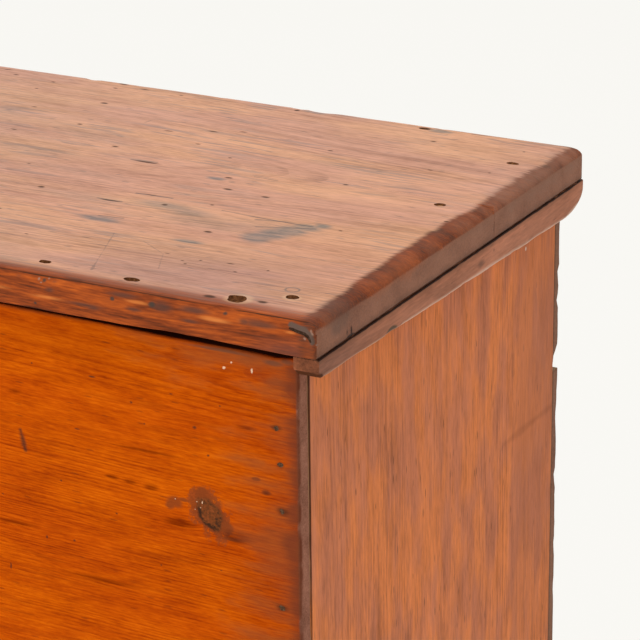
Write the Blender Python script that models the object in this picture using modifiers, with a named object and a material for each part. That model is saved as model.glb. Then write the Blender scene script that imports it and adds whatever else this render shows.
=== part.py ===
# Pine mule chest: a lift-lid well over two long drawers, on bootjack ends, with wrought strap hinges.
# Chest coordinates, in metres: X across from the middle, Y back from the case front, Z up from the floor.

import math

import bmesh
import bpy
from mathutils import Euler, Matrix, Vector

# Fit and finish
FIT = 0.0003  # gap left between pieces that touch
EASE = 0.0008  # plane stroke taken off every sharp board edge
CUT_PAST = 0.002  # how far a saw cut runs past the wood

# Case
CASE_WIDTH = 1.016
CASE_DEPTH = 0.428
SIDE_THICK = 0.020
FRONT_THICK = 0.015
BACK_THICK = 0.0095
APRON_HEIGHT = 0.120
LOWER_OPENING = 0.180
RAIL_HEIGHT = 0.020
UPPER_OPENING = 0.160
FRONT_BOARD_HEIGHT = 0.370
FRONT_SHRINK = 0.0055  # the front board stands this far below the rim
RAIL_DEPTH = 0.050
HOUSING_DEPTH = 0.006  # how far the floor and rails are let into the ends
FLOOR_THICK = 0.017
FLOOR_FRONT_WIDTH = 0.215
RUNNER_WIDTH = 0.024
BACK_TOP_WIDTH = 0.160
BACK_MIDDLE_WIDTH = 0.310
BACK_SHRINK = 0.0010  # open joint between the back boards
BACK_LIFT = 0.098  # floor to the lowest back board

# Feet
SIDE_FOOT_WIDTH = 0.095
BOOTJACK_RADIUS = 0.040
BOOTJACK_SPRING = 0.052  # height where the round of the bootjack starts
APRON_FOOT_WIDTH = 0.105
APRON_CUT_HEIGHT = 0.066
APRON_TOE = 0.012
APRON_COVE = 0.048

# Lid
LID_THICK = 0.025
LID_FRONT_OVERHANG = 0.0115
LID_REAR_SETBACK = 0.0045
LID_REAR_BOARD_WIDTH = 0.1613
LID_END_ROUND = 0.011
LID_FRONT_ROUND = 0.008
LID_BACK_ROUND = 0.005
LID_CORNER_ROUND = 0.003
LID_LOWER_EASE = 0.0015
CLEAT_THICK = 0.0192
CLEAT_PLAY = 0.001  # gap between a cleat and the end it clasps
CLEAT_FRONT_HEIGHT = 0.01475
CLEAT_REAR_HEIGHT = 0.0242
CLEAT_FRONT_PROUD = 0.007
CLEAT_CHAMFER = 0.0045
CLEAT_NOSE_LENGTH = 0.036
CLEAT_NOSE_HEIGHT = 0.014

# Hinges
HINGE_INSET = 0.190  # from the outside of the case to the middle of a hinge
HINGE_IRON = 0.0025
STRAP_LENGTH = 0.185
STRAP_WIDTH = 0.036
STRAP_TIP_WIDTH = 0.018
STRAP_FINIAL_RADIUS = 0.014
LEAF_HEIGHT = 0.078
LEAF_FOOT_WIDTH = 0.056
BARREL_RADIUS = 0.005
BARREL_MIDDLE = 0.013  # length of the strap's own knuckle
PIN_RADIUS = 0.0025
PIN_PLAY = 0.0002
PIN_HEAD_RADIUS = 0.0038
PIN_HEAD_HEIGHT = 0.0015
KNUCKLE_GAP = 0.0004
NOTCH_PLAY = 0.001

# Drawers
DRAWER_SIDE_GAP = 0.0015
DRAWER_TOP_GAP = 0.002
DRAWER_SILL_GAP = 0.0012
DRAWER_FRONT_THICK = 0.020
DRAWER_SIDE_THICK = 0.012
DRAWER_BACK_THICK = 0.012
DRAWER_SIDE_DROP = 0.004  # sides stop this far below the top of the opening
DRAWER_BACK_DROP = 0.006
DRAWER_LAP = 0.006  # wood left in front of the blind dovetails
DRAWER_BOTTOM_THICK = 0.009
GROOVE_HEIGHT = 0.0055
GROOVE_DEPTH = 0.005
GROOVE_LIFT = 0.013
PANEL_FEATHER = 0.028  # width of the planed feather under the drawer bottom
TAIL_COUNT = 3
PIN_WIDTH = 0.012  # width of a dovetail pin at the shoulder line
DOVETAIL_SLOPE = 1 / 6
KNOB_SPREAD = 0.300  # from the middle to a knob
KNOB_RADIUS = 0.019
KNOB_PROJECTION = 0.030
KNOB_NECK_RADIUS = 0.0095
KNOB_BASE_RADIUS = 0.0125
KNOB_TENON_RADIUS = 0.007

# Number of straight steps in curved outlines
ARC_STEPS = 10
ROUND_STEPS = 24
BARREL_STEPS = 20

# Heights and depths that follow from the sizes above
APRON_TOP = APRON_HEIGHT
LOWER_TOP = APRON_TOP + LOWER_OPENING
UPPER_SILL = LOWER_TOP + RAIL_HEIGHT
FRONT_BOTTOM = UPPER_SILL + UPPER_OPENING
CASE_TOP = FRONT_BOTTOM + FRONT_BOARD_HEIGHT
HALF_WIDTH = CASE_WIDTH / 2
INNER_HALF = HALF_WIDTH - SIDE_THICK
SIDE_FRONT = FRONT_THICK + FIT  # front edge of an end where a front board laps it
SIDE_REAR = CASE_DEPTH - BACK_THICK - FIT
LID_BOTTOM = CASE_TOP + FIT
LID_HALF = HALF_WIDTH + CLEAT_PLAY + CLEAT_THICK
LID_REAR = CASE_DEPTH - LID_REAR_SETBACK
LID_SEAM = LID_REAR - LID_REAR_BOARD_WIDTH - FIT
STRAP_TOP = LID_BOTTOM - FIT
STRAP_BOTTOM = STRAP_TOP - HINGE_IRON
HINGE_Y = CASE_DEPTH + FIT + BARREL_RADIUS
HINGE_Z = STRAP_TOP - BARREL_RADIUS
DRAWER_HALF = INNER_HALF - DRAWER_SIDE_GAP
DRAWER_REAR = SIDE_REAR - FIT

# The origin is on the floor, below the middle of the whole chest from knob faces to hinge barrels
BACK_TO_ORIGIN = (CASE_DEPTH + FIT + 2 * BARREL_RADIUS - KNOB_PROJECTION) / 2

# Turns that stand a flat outline up: (x, y) becomes (Y, Z) on an end, or (X, Z) on a front
ON_END = Euler((math.pi / 2, 0, math.pi / 2))
ON_FRONT = Euler((math.pi / 2, 0, 0))
FLAT = Euler((0, 0, 0))


def clear_scene():
    for obj in list(bpy.data.objects):
        bpy.data.objects.remove(obj, do_unlink=True)


def new_collection(name):
    collection = bpy.data.collections.new(name)
    bpy.context.scene.collection.children.link(collection)
    return collection


def new_material(name, colour, roughness, metallic=0.0):
    finish = bpy.data.materials.new(name)
    finish.use_nodes = True
    shader = finish.node_tree.nodes["Principled BSDF"]
    shader.inputs["Base Color"].default_value = (*colour, 1.0)
    shader.inputs["Roughness"].default_value = roughness
    shader.inputs["Metallic"].default_value = metallic
    return finish


clear_scene()
CHEST = new_collection("mule_chest")
CUTTERS = new_collection("cutters")
LID_PINE = new_material("lid_pine", (0.42, 0.19, 0.09), 0.45)
FRONT_PINE = new_material("front_pine", (0.56, 0.19, 0.03), 0.38)
END_PINE = new_material("end_pine", (0.38, 0.15, 0.06), 0.5)
BARE_PINE = new_material("bare_pine", (0.47, 0.31, 0.17), 0.75)
KNOB_WOOD = new_material("knob_wood", (0.25, 0.09, 0.03), 0.4)
IRON = new_material("wrought_iron", (0.05, 0.045, 0.04), 0.6, 0.9)


def carrier(name, at, parent=None):
    """An empty on the axis that its pieces move about."""
    obj = bpy.data.objects.new(name, None)
    CHEST.objects.link(obj)
    obj.parent = parent
    obj.location = at
    return obj


CASE = carrier("mule_chest", Vector((0, -BACK_TO_ORIGIN, 0)))
LID = carrier("lid_axis", Vector((0, HINGE_Y, HINGE_Z)), CASE)
UPPER_DRAWER = carrier("upper_drawer_slide", Vector((0, 0, UPPER_SILL)), CASE)
LOWER_DRAWER = carrier("lower_drawer_slide", Vector((0, 0, APRON_TOP)), CASE)


def seat(obj, holder, at):
    """Puts a piece at a point in chest coordinates, carried by one of the empties."""
    obj.parent = holder
    obj.location = Vector(at) - (holder.location if holder != CASE else Vector())


def from_bmesh(name, bm, collection=CHEST):
    mesh = bpy.data.meshes.new(name)
    bm.to_mesh(mesh)
    bm.free()
    obj = bpy.data.objects.new(name, mesh)
    collection.objects.link(obj)
    return obj


def ease_edges(obj, width=EASE, segments=1):
    bevel = obj.modifiers.new("eased_edges", "BEVEL")
    bevel.width = width
    bevel.segments = segments
    bevel.limit_method = "ANGLE"
    bevel.angle_limit = math.radians(40)


def box_mesh(low, high):
    size = Vector(high) - Vector(low)
    bm = bmesh.new()
    bmesh.ops.create_cube(bm, size=1.0, matrix=Matrix.Diagonal((*size, 1.0)))
    return bm


def block(name, holder, low, high, finish, ease=EASE):
    """A squared board or strip between two corners."""
    obj = from_bmesh(name, box_mesh(low, high))
    obj.data.materials.append(finish)
    seat(obj, holder, (Vector(low) + Vector(high)) / 2)
    ease_edges(obj, ease)
    return obj


def plate_mesh(name, loops, thickness):
    """Flat outlines sawn from a board: closed loops of points, extruded to a thickness."""
    curve = bpy.data.curves.new(name, "CURVE")
    curve.dimensions = "2D"
    curve.fill_mode = "BOTH"
    curve.extrude = thickness / 2
    for loop in loops:
        spline = curve.splines.new("POLY")
        spline.points.add(len(loop) - 1)
        spline.use_cyclic_u = True
        for point, (x, y) in zip(spline.points, loop):
            point.co = (x, y, 0, 1)
    shape = bpy.data.objects.new(name, curve)
    CUTTERS.objects.link(shape)
    graph = bpy.context.evaluated_depsgraph_get()
    mesh = bpy.data.meshes.new_from_object(shape.evaluated_get(graph))
    bpy.data.objects.remove(shape)
    bpy.data.curves.remove(curve)
    bm = bmesh.new()
    bm.from_mesh(mesh)
    bpy.data.meshes.remove(mesh)
    bmesh.ops.remove_doubles(bm, verts=bm.verts, dist=1e-6)
    bmesh.ops.dissolve_limit(bm, angle_limit=math.radians(0.5), verts=bm.verts, edges=bm.edges)
    bmesh.ops.recalc_face_normals(bm, faces=bm.faces)
    return bm


def plate(name, holder, loop, thickness, at, turn, finish, ease=EASE):
    obj = from_bmesh(name, plate_mesh(name, [loop], thickness))
    obj.data.materials.append(finish)
    obj.rotation_euler = turn
    seat(obj, holder, at)
    if ease:
        ease_edges(obj, ease)
    return obj


def as_cutter(obj, holder, at):
    obj.hide_render = True
    obj.display_type = "WIRE"
    seat(obj, holder, at)
    return obj


def cutter_block(name, holder, low, high):
    return as_cutter(from_bmesh(name, box_mesh(low, high), CUTTERS), holder, (Vector(low) + Vector(high)) / 2)


def cutter_plate(name, holder, loops, thickness, at, turn):
    obj = from_bmesh(name, plate_mesh(name, loops, thickness), CUTTERS)
    obj.rotation_euler = turn
    return as_cutter(obj, holder, at)


def cutter_rod(name, holder, radius, length, at, turn, steps=ROUND_STEPS):
    bm = bmesh.new()
    bmesh.ops.create_cone(bm, cap_ends=True, segments=steps, radius1=radius, radius2=radius, depth=length)
    obj = from_bmesh(name, bm, CUTTERS)
    obj.rotation_euler = turn
    return as_cutter(obj, holder, at)


def combine(obj, other, operation):
    boolean = obj.modifiers.new(f"{operation.lower()}_{other.name}", "BOOLEAN")
    boolean.operation = operation
    boolean.object = other


def cut(obj, *cutters):
    for cutter in cutters:
        combine(obj, cutter, "DIFFERENCE")


def turned(name, holder, profile, at, turn, finish, steps=ROUND_STEPS):
    """A turned piece: a profile of (radius, height) points, top to bottom, swept about its own Z."""
    bm = bmesh.new()
    verts = [bm.verts.new((radius, 0, height)) for radius, height in profile]
    for first, second in zip(verts, verts[1:]):
        bm.edges.new((first, second))
    obj = from_bmesh(name, bm)
    obj.data.materials.append(finish)
    screw = obj.modifiers.new("turned", "SCREW")
    screw.steps = screw.render_steps = steps
    screw.use_merge_vertices = True
    screw.merge_threshold = 0.00001
    screw.use_smooth_shade = True
    obj.rotation_euler = turn
    seat(obj, holder, at)
    return obj


def arc(centre, radii, start, end, steps=ARC_STEPS):
    """Points along a round or oval stretch, with angles in degrees."""
    angles = [math.radians(start + (end - start) * i / steps) for i in range(steps + 1)]
    return [(centre[0] + radii[0] * math.cos(a), centre[1] + radii[1] * math.sin(a)) for a in angles]


# Ends, front, back and floor of the case


def end_outline():
    """An end board seen from outside: lapped by the front board and apron, with a bootjack cut at the foot."""
    middle = (SIDE_FRONT + SIDE_REAR) / 2
    bootjack = arc((middle, BOOTJACK_SPRING), (BOOTJACK_RADIUS, BOOTJACK_RADIUS), 0, 180)
    return [
        (SIDE_FRONT, 0),
        (SIDE_FRONT, APRON_TOP + FIT),
        (0, APRON_TOP + FIT),
        (0, FRONT_BOTTOM - FIT),
        (SIDE_FRONT, FRONT_BOTTOM - FIT),
        (SIDE_FRONT, CASE_TOP),
        (SIDE_REAR, CASE_TOP),
        (SIDE_REAR, 0),
        (SIDE_REAR - SIDE_FOOT_WIDTH, 0),
        *bootjack,
        (SIDE_FRONT + SIDE_FOOT_WIDTH, 0),
    ]


def housing(name, sign, y_low, y_high, z_low, z_high):
    """A trench in the inner face of an end."""
    inner, outer = sign * (INNER_HALF - CUT_PAST), sign * (INNER_HALF + HOUSING_DEPTH + FIT)
    low = (min(inner, outer), y_low - FIT, z_low - FIT)
    high = (max(inner, outer), y_high + FIT, z_high + FIT)
    return cutter_block(name, CASE, low, high)


def make_end(name, sign):
    middle = sign * (HALF_WIDTH - SIDE_THICK / 2)
    end = plate(name, CASE, end_outline(), SIDE_THICK, (middle, 0, 0), ON_END, END_PINE)
    floor_trench = housing(f"{name}_floor_trench", sign, SIDE_FRONT, SIDE_REAR + CUT_PAST,
                           FRONT_BOTTOM, FRONT_BOTTOM + FLOOR_THICK)
    rail_trench = housing(f"{name}_rail_trench", sign, -CUT_PAST, RAIL_DEPTH, LOWER_TOP, UPPER_SILL)
    sill_trench = housing(f"{name}_sill_trench", sign, SIDE_FRONT - CUT_PAST, SIDE_FRONT + RAIL_DEPTH,
                          APRON_TOP - RAIL_HEIGHT, APRON_TOP)
    cut(end, floor_trench, rail_trench, sill_trench)
    return end


def apron_outline():
    """The skirt below the drawers, with a plain bracket foot sawn at each end."""
    foot = HALF_WIDTH - APRON_FOOT_WIDTH
    spring = APRON_CUT_HEIGHT - APRON_COVE
    right = [
        (HALF_WIDTH, APRON_TOP),
        (HALF_WIDTH, 0),
        (foot, 0),
        (foot, APRON_TOE),
        (foot - (APRON_COVE - spring), spring),
        *arc((foot - 2 * APRON_COVE + spring, spring), (APRON_COVE, APRON_COVE), 0, 90)[1:],
    ]
    return right + [(-x, z) for x, z in reversed(right)]


def make_fronts():
    top = CASE_TOP - FRONT_SHRINK
    block("front_board", CASE, (-HALF_WIDTH, 0, FRONT_BOTTOM), (HALF_WIDTH, FRONT_THICK, top), FRONT_PINE)
    plate("front_apron", CASE, apron_outline(), FRONT_THICK, (0, FRONT_THICK / 2, 0), ON_FRONT, FRONT_PINE)
    reach = INNER_HALF + HOUSING_DEPTH
    block("drawer_rail", CASE, (-reach, 0, LOWER_TOP), (reach, RAIL_DEPTH, UPPER_SILL), FRONT_PINE)
    sill_low = (-reach, SIDE_FRONT, APRON_TOP - RAIL_HEIGHT)
    sill_high = (reach, SIDE_FRONT + RAIL_DEPTH, APRON_TOP)
    block("drawer_sill", CASE, sill_low, sill_high, BARE_PINE)


def make_floor():
    reach = INNER_HALF + HOUSING_DEPTH
    low, high = FRONT_BOTTOM, FRONT_BOTTOM + FLOOR_THICK
    joint = SIDE_FRONT + FLOOR_FRONT_WIDTH
    block("well_floor_front", CASE, (-reach, SIDE_FRONT, low), (reach, joint, high), BARE_PINE)
    block("well_floor_rear", CASE, (-reach, joint + FIT, low), (reach, SIDE_REAR, high), BARE_PINE)


def make_runners():
    levels = {"upper": (UPPER_SILL, RAIL_DEPTH), "lower": (APRON_TOP, SIDE_FRONT + RAIL_DEPTH)}
    for level, (top, rail_back) in levels.items():
        for side, sign in (("left", -1), ("right", 1)):
            outer, inner = sign * (INNER_HALF - FIT), sign * (INNER_HALF - RUNNER_WIDTH)
            low = (min(outer, inner), rail_back + FIT, top - RAIL_HEIGHT)
            high = (max(outer, inner), SIDE_REAR, top)
            block(f"{level}_runner_{side}", CASE, low, high, BARE_PINE)


def make_back():
    near, far = CASE_DEPTH - BACK_THICK, CASE_DEPTH
    top_low = CASE_TOP - BACK_TOP_WIDTH
    middle_high = top_low - BACK_SHRINK
    middle_low = middle_high - BACK_MIDDLE_WIDTH
    boards = {
        "back_board_top": (top_low, CASE_TOP),
        "back_board_middle": (middle_low, middle_high),
        "back_board_bottom": (BACK_LIFT, middle_low - BACK_SHRINK),
    }
    made = {
        name: block(name, CASE, (-HALF_WIDTH, near, low), (HALF_WIDTH, far, high), BARE_PINE)
        for name, (low, high) in boards.items()
    }
    for side, sign in (("left", -1), ("right", 1)):
        middle, half = sign * (HALF_WIDTH - HINGE_INSET), STRAP_WIDTH / 2 + NOTCH_PLAY
        low = (middle - half, near - CUT_PAST, STRAP_BOTTOM - FIT)
        high = (middle + half, far + CUT_PAST, CASE_TOP + CUT_PAST)
        cut(made["back_board_top"], cutter_block(f"hinge_notch_{side}", CASE, low, high))


# Lid


def lid_board(name, y_low, y_high, front_round, back_round):
    """One lid board, its ends nosed over, with its own rounding on the front and back edges."""
    half = Vector((LID_HALF, (y_high - y_low) / 2, LID_THICK / 2))
    bm = box_mesh(-half, half)
    weights = bm.edges.layers.float.new("bevel_weight_edge")
    for edge in bm.edges:
        middle = (edge.verts[0].co + edge.verts[1].co) / 2
        upright = abs(middle.z) < half.z / 2
        across_end = abs(middle.x) > half.x / 2
        long_round = front_round if middle.y < 0 else back_round
        if upright:
            width = LID_CORNER_ROUND if long_round else 0
        elif middle.z < 0:
            width = LID_LOWER_EASE if across_end or long_round else 0
        else:
            width = LID_END_ROUND if across_end else long_round
        edge[weights] = width / LID_END_ROUND
    obj = from_bmesh(name, bm)
    obj.data.materials.append(LID_PINE)
    seat(obj, LID, (0, (y_low + y_high) / 2, LID_BOTTOM + LID_THICK / 2))
    bevel = obj.modifiers.new("rounded_edges", "BEVEL")
    bevel.limit_method = "WEIGHT"
    bevel.width = LID_END_ROUND
    bevel.segments = 4
    return obj


def cleat_outline():
    """A cleat seen from the end of the chest: tapered from back to front, its tail nosed round."""
    front, fall = -CLEAT_FRONT_PROUD, CLEAT_REAR_HEIGHT - CLEAT_FRONT_HEIGHT
    slope = fall / (LID_REAR - front)
    nose_start = LID_REAR - CLEAT_NOSE_LENGTH
    nose_low = -CLEAT_FRONT_HEIGHT - slope * (nose_start - front)
    nose = arc((nose_start, nose_low + CLEAT_NOSE_HEIGHT), (CLEAT_NOSE_LENGTH, CLEAT_NOSE_HEIGHT), 0, -90)
    return [
        (front, 0),
        (LID_REAR, 0),
        *nose,
        (front + CLEAT_CHAMFER, -CLEAT_FRONT_HEIGHT - slope * CLEAT_CHAMFER),
        (front, CLEAT_CHAMFER - CLEAT_FRONT_HEIGHT),
    ]


def make_lid():
    front = -LID_FRONT_OVERHANG
    lid_board("lid_front_board", front, LID_SEAM, LID_FRONT_ROUND, 0)
    lid_board("lid_rear_board", LID_SEAM + FIT, LID_REAR, 0, LID_BACK_ROUND)
    for side, sign in (("left", -1), ("right", 1)):
        at = (sign * (LID_HALF - CLEAT_THICK / 2), 0, LID_BOTTOM - FIT)
        plate(f"cleat_{side}", LID, cleat_outline(), CLEAT_THICK, at, ON_END, LID_PINE)


# Strap hinges


def strap_outline():
    """The strap under the lid, seen from above with the pin at y = 0: a tapered bar with a round finial."""
    shoulder = -(HINGE_Y - CASE_DEPTH) - FIT
    finial = (0, -STRAP_LENGTH + STRAP_FINIAL_RADIUS)
    neck = math.degrees(math.asin(STRAP_TIP_WIDTH / 2 / STRAP_FINIAL_RADIUS))
    half_knuckle = BARREL_MIDDLE / 2
    finial_round = arc(finial, (STRAP_FINIAL_RADIUS,) * 2, 90 - neck, neck - 270, 2 * ARC_STEPS)
    return [
        (-half_knuckle, 0),
        (-half_knuckle, shoulder),
        (-STRAP_WIDTH / 2, shoulder),
        *reversed(finial_round),
        (STRAP_WIDTH / 2, shoulder),
        (half_knuckle, shoulder),
        (half_knuckle, 0),
    ]


def leaf_outline():
    """The leaf on the back of the case, pin at z = 0: a flared tail notched round the strap's knuckle."""
    half, foot, gap = STRAP_WIDTH / 2, LEAF_FOOT_WIDTH / 2, BARREL_MIDDLE / 2 + KNUCKLE_GAP
    notch = -BARREL_RADIUS - KNUCKLE_GAP
    waist = -2 * BARREL_RADIUS
    return [
        (-half, 0), (-half, waist), (-foot, -LEAF_HEIGHT), (foot, -LEAF_HEIGHT),
        (half, waist), (half, 0), (gap, 0), (gap, notch), (-gap, notch), (-gap, 0),
    ]


def knuckle(name, holder, middle, low, high):
    """A stretch of hinge barrel, to be joined to its leaf."""
    return cutter_rod(name, holder, BARREL_RADIUS, high - low, (middle + (low + high) / 2, HINGE_Y, HINGE_Z),
                      Euler((0, math.pi / 2, 0)), BARREL_STEPS)


def make_hinge(side, sign):
    middle = sign * (HALF_WIDTH - HINGE_INSET)
    along_x = Euler((0, math.pi / 2, 0))
    half, own = STRAP_WIDTH / 2, BARREL_MIDDLE / 2
    strap = plate(f"hinge_strap_{side}", LID, strap_outline(), HINGE_IRON,
                  (middle, HINGE_Y, STRAP_TOP - HINGE_IRON / 2), FLAT, IRON, ease=0)
    combine(strap, knuckle(f"strap_knuckle_{side}", LID, middle, -own, own), "UNION")
    leaf = plate(f"hinge_leaf_{side}", CASE, leaf_outline(), HINGE_IRON,
                 (middle, CASE_DEPTH + FIT + HINGE_IRON / 2, HINGE_Z), ON_FRONT, IRON, ease=0)
    for hand, low, high in (("a", -half, -own - KNUCKLE_GAP), ("b", own + KNUCKLE_GAP, half)):
        combine(leaf, knuckle(f"leaf_knuckle_{side}_{hand}", CASE, middle, low, high), "UNION")
    for obj, holder in ((strap, LID), (leaf, CASE)):
        bore = cutter_rod(f"{obj.name}_bore", holder, PIN_RADIUS + PIN_PLAY, STRAP_WIDTH + 2 * CUT_PAST,
                          (middle, HINGE_Y, HINGE_Z), along_x, BARREL_STEPS)
        cut(obj, bore)
    shank = half + FIT
    profile = [(0, shank + PIN_HEAD_HEIGHT), (PIN_HEAD_RADIUS, shank + PIN_HEAD_HEIGHT / 2),
               (PIN_HEAD_RADIUS, shank), (PIN_RADIUS, shank)]
    profile += [(radius, -height) for radius, height in reversed(profile)]
    turned(f"hinge_pin_{side}", CASE, profile, (middle, HINGE_Y, HINGE_Z), along_x, IRON, BARREL_STEPS)


# Drawers


def tails(z_low, z_high):
    """Lower and upper root of each tail that shares a height between half pins."""
    pitch = (z_high - z_low) / TAIL_COUNT
    roots = [z_low + pitch * i for i in range(TAIL_COUNT)]
    return [(root + PIN_WIDTH / 2, root + pitch - PIN_WIDTH / 2) for root in roots]


def tail_sockets(z_low, z_high, root, tip):
    """Dovetail-shaped sockets in the (Y, Z) face, cut from the root line past the tip of each tail."""
    way = 1 if tip > root else -1
    flare = DOVETAIL_SLOPE * abs(tip - root)
    past = root - way * CUT_PAST
    return [
        [(past, low - FIT), (root, low - FIT), (tip, low - flare - FIT),
         (tip, high + flare + FIT), (root, high + FIT), (past, high + FIT)]
        for low, high in tails(z_low, z_high)
    ]


def tail_waste(z_low, z_high, root, tip, floor, ceiling):
    """The wood sawn out between and beside the tails on the end of a drawer side."""
    way = 1 if tip > root else -1
    flare = DOVETAIL_SLOPE * (abs(tip - root) + CUT_PAST)
    past = tip + way * CUT_PAST
    edges = [floor, *[z for pair in tails(z_low, z_high) for z in pair], ceiling]
    loops = []
    for index in range(0, len(edges), 2):
        low, high = edges[index], edges[index + 1]
        lean_low = 0 if index == 0 else flare
        lean_high = 0 if index + 2 == len(edges) else flare
        loops.append([(root, low), (root, high), (past, high - lean_high), (past, low + lean_low)])
    return loops


def knob_profile():
    """A mushroom knob, face first, with its tenon through the drawer front."""
    rim = KNOB_PROJECTION - KNOB_RADIUS * 0.45
    dome = arc((0, rim), (KNOB_RADIUS, KNOB_PROJECTION - rim), 90, 0, 6)
    neck_height = KNOB_PROJECTION * 0.3
    under = arc((KNOB_NECK_RADIUS, rim), (KNOB_RADIUS - KNOB_NECK_RADIUS, rim - neck_height), 0, -90, 6)
    base = [(KNOB_BASE_RADIUS, neck_height / 3), (KNOB_BASE_RADIUS, FIT)]
    tenon = [(KNOB_TENON_RADIUS, FIT), (KNOB_TENON_RADIUS, -DRAWER_FRONT_THICK), (0, -DRAWER_FRONT_THICK)]
    return [(0, KNOB_PROJECTION), *dome[1:], *under[1:], *base, *tenon]


def feather(edge, way, low, tongue_low):
    """Wood planed from under one edge of a panel: level along the tongue, then sloping to full thickness."""
    flat, full, past = edge + way * GROOVE_DEPTH, edge + way * PANEL_FEATHER, edge - way * CUT_PAST
    below = low - CUT_PAST
    return [(past, tongue_low), (flat, tongue_low), (full, low), (full, below), (past, below)]


def drawer_panel(name, holder, low, high):
    """The drawer bottom: a tongue on three edges, feathered underneath, running out plain under the back."""
    panel = block(name, holder, low, high, BARE_PINE, ease=FIT)
    tongue_low = high[2] - GROOVE_HEIGHT + 2 * FIT
    along, through = high[0] - low[0] + 2 * CUT_PAST, high[1] - low[1] + 2 * CUT_PAST
    front = [feather(low[1], 1, low[2], tongue_low)]
    sides = [feather(low[0], 1, low[2], tongue_low), feather(high[0], -1, low[2], tongue_low)]
    cut(panel, cutter_plate(f"{name}_front_feather", holder, front, along, (0, 0, 0), ON_END))
    middle = (low[1] + high[1]) / 2
    cut(panel, cutter_plate(f"{name}_side_feathers", holder, sides, through, (0, middle, 0), ON_FRONT))


def make_drawer(level, holder, sill, head):
    front_low, front_high = sill + DRAWER_SILL_GAP, head - DRAWER_TOP_GAP
    side_low, side_high = sill + FIT, head - DRAWER_SIDE_DROP
    groove_low = sill + GROOVE_LIFT
    groove_high = groove_low + GROOVE_HEIGHT
    back_low, back_high = groove_high, head - DRAWER_BACK_DROP
    back_front = DRAWER_REAR - DRAWER_BACK_THICK
    joint_front = (front_low, side_high, DRAWER_FRONT_THICK, DRAWER_LAP)
    joint_back = (back_low, back_high, back_front, DRAWER_REAR)

    front = block(f"{level}_drawer_front", holder, (-DRAWER_HALF, 0, front_low),
                  (DRAWER_HALF, DRAWER_FRONT_THICK, front_high), FRONT_PINE)
    back = block(f"{level}_drawer_back", holder, (-DRAWER_HALF, back_front, back_low),
                 (DRAWER_HALF, DRAWER_REAR, back_high), BARE_PINE)
    inner = DRAWER_HALF - DRAWER_SIDE_THICK
    groove_end = inner + GROOVE_DEPTH
    cut(front, cutter_block(f"{level}_front_groove", holder,
                            (-groove_end, DRAWER_FRONT_THICK - GROOVE_DEPTH, groove_low),
                            (groove_end, DRAWER_FRONT_THICK + CUT_PAST, groove_high)))

    for side, sign in (("left", -1), ("right", 1)):
        name = f"{level}_drawer_side_{side}"
        edges = sorted((sign * DRAWER_HALF, sign * inner))
        board = block(name, holder, (edges[0], DRAWER_LAP + FIT, side_low),
                      (edges[1], DRAWER_REAR, side_high), BARE_PINE)
        middle = sign * (DRAWER_HALF - DRAWER_SIDE_THICK / 2)
        through = DRAWER_SIDE_THICK + 2 * CUT_PAST
        beyond = (side_low - CUT_PAST, side_high + CUT_PAST)
        z_low, z_high, root, tip = joint_front
        waste = tail_waste(z_low, z_high, root + FIT, tip, *beyond)
        cut(board, cutter_plate(f"{name}_front_waste", holder, waste, through, (middle, 0, 0), ON_END))
        z_low, z_high, root, tip = joint_back
        waste = tail_waste(z_low, z_high, root - FIT, tip, back_low - FIT, beyond[1])
        cut(board, cutter_plate(f"{name}_back_waste", holder, waste, through, (middle, 0, 0), ON_END))
        groove = sorted((sign * (inner - CUT_PAST), sign * groove_end))
        cut(board, cutter_block(f"{name}_groove", holder, (groove[0], 0, groove_low),
                                (groove[1], DRAWER_REAR + CUT_PAST, groove_high)))
        reach = DRAWER_SIDE_THICK + FIT + CUT_PAST
        outside = sign * (DRAWER_HALF + CUT_PAST - reach / 2)
        z_low, z_high, root, tip = joint_front
        sockets = tail_sockets(z_low, z_high, root, tip)
        cut(front, cutter_plate(f"{name}_front_sockets", holder, sockets, reach, (outside, 0, 0), ON_END))
        z_low, z_high, root, tip = joint_back
        sockets = tail_sockets(z_low, z_high, root, tip + CUT_PAST)
        cut(back, cutter_plate(f"{name}_back_sockets", holder, sockets, reach, (outside, 0, 0), ON_END))

    panel_half = groove_end - FIT
    panel_top = groove_high - FIT
    drawer_panel(f"{level}_drawer_bottom", holder,
                 (-panel_half, DRAWER_FRONT_THICK - GROOVE_DEPTH + FIT, panel_top - DRAWER_BOTTOM_THICK),
                 (panel_half, DRAWER_REAR, panel_top))

    knob_z = (front_low + front_high) / 2
    facing = Euler((math.pi / 2, 0, 0))
    for side, sign in (("left", -1), ("right", 1)):
        at = (sign * KNOB_SPREAD, 0, knob_z)
        cut(front, cutter_rod(f"{level}_knob_bore_{side}", holder, KNOB_TENON_RADIUS + FIT,
                              2 * DRAWER_FRONT_THICK + 2 * CUT_PAST, at, facing))
        turned(f"{level}_knob_{side}", holder, knob_profile(), at, facing, KNOB_WOOD)


make_end("left_end", -1)
make_end("right_end", 1)
make_fronts()
make_floor()
make_runners()
make_back()
make_lid()
make_hinge("left", -1)
make_hinge("right", 1)
make_drawer("upper", UPPER_DRAWER, UPPER_SILL, FRONT_BOTTOM)
make_drawer("lower", LOWER_DRAWER, APRON_TOP, LOWER_TOP)
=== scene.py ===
import math
import random
from types import SimpleNamespace

import bmesh
import bpy
import numpy as np
from mathutils import Matrix, Vector, noise


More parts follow.
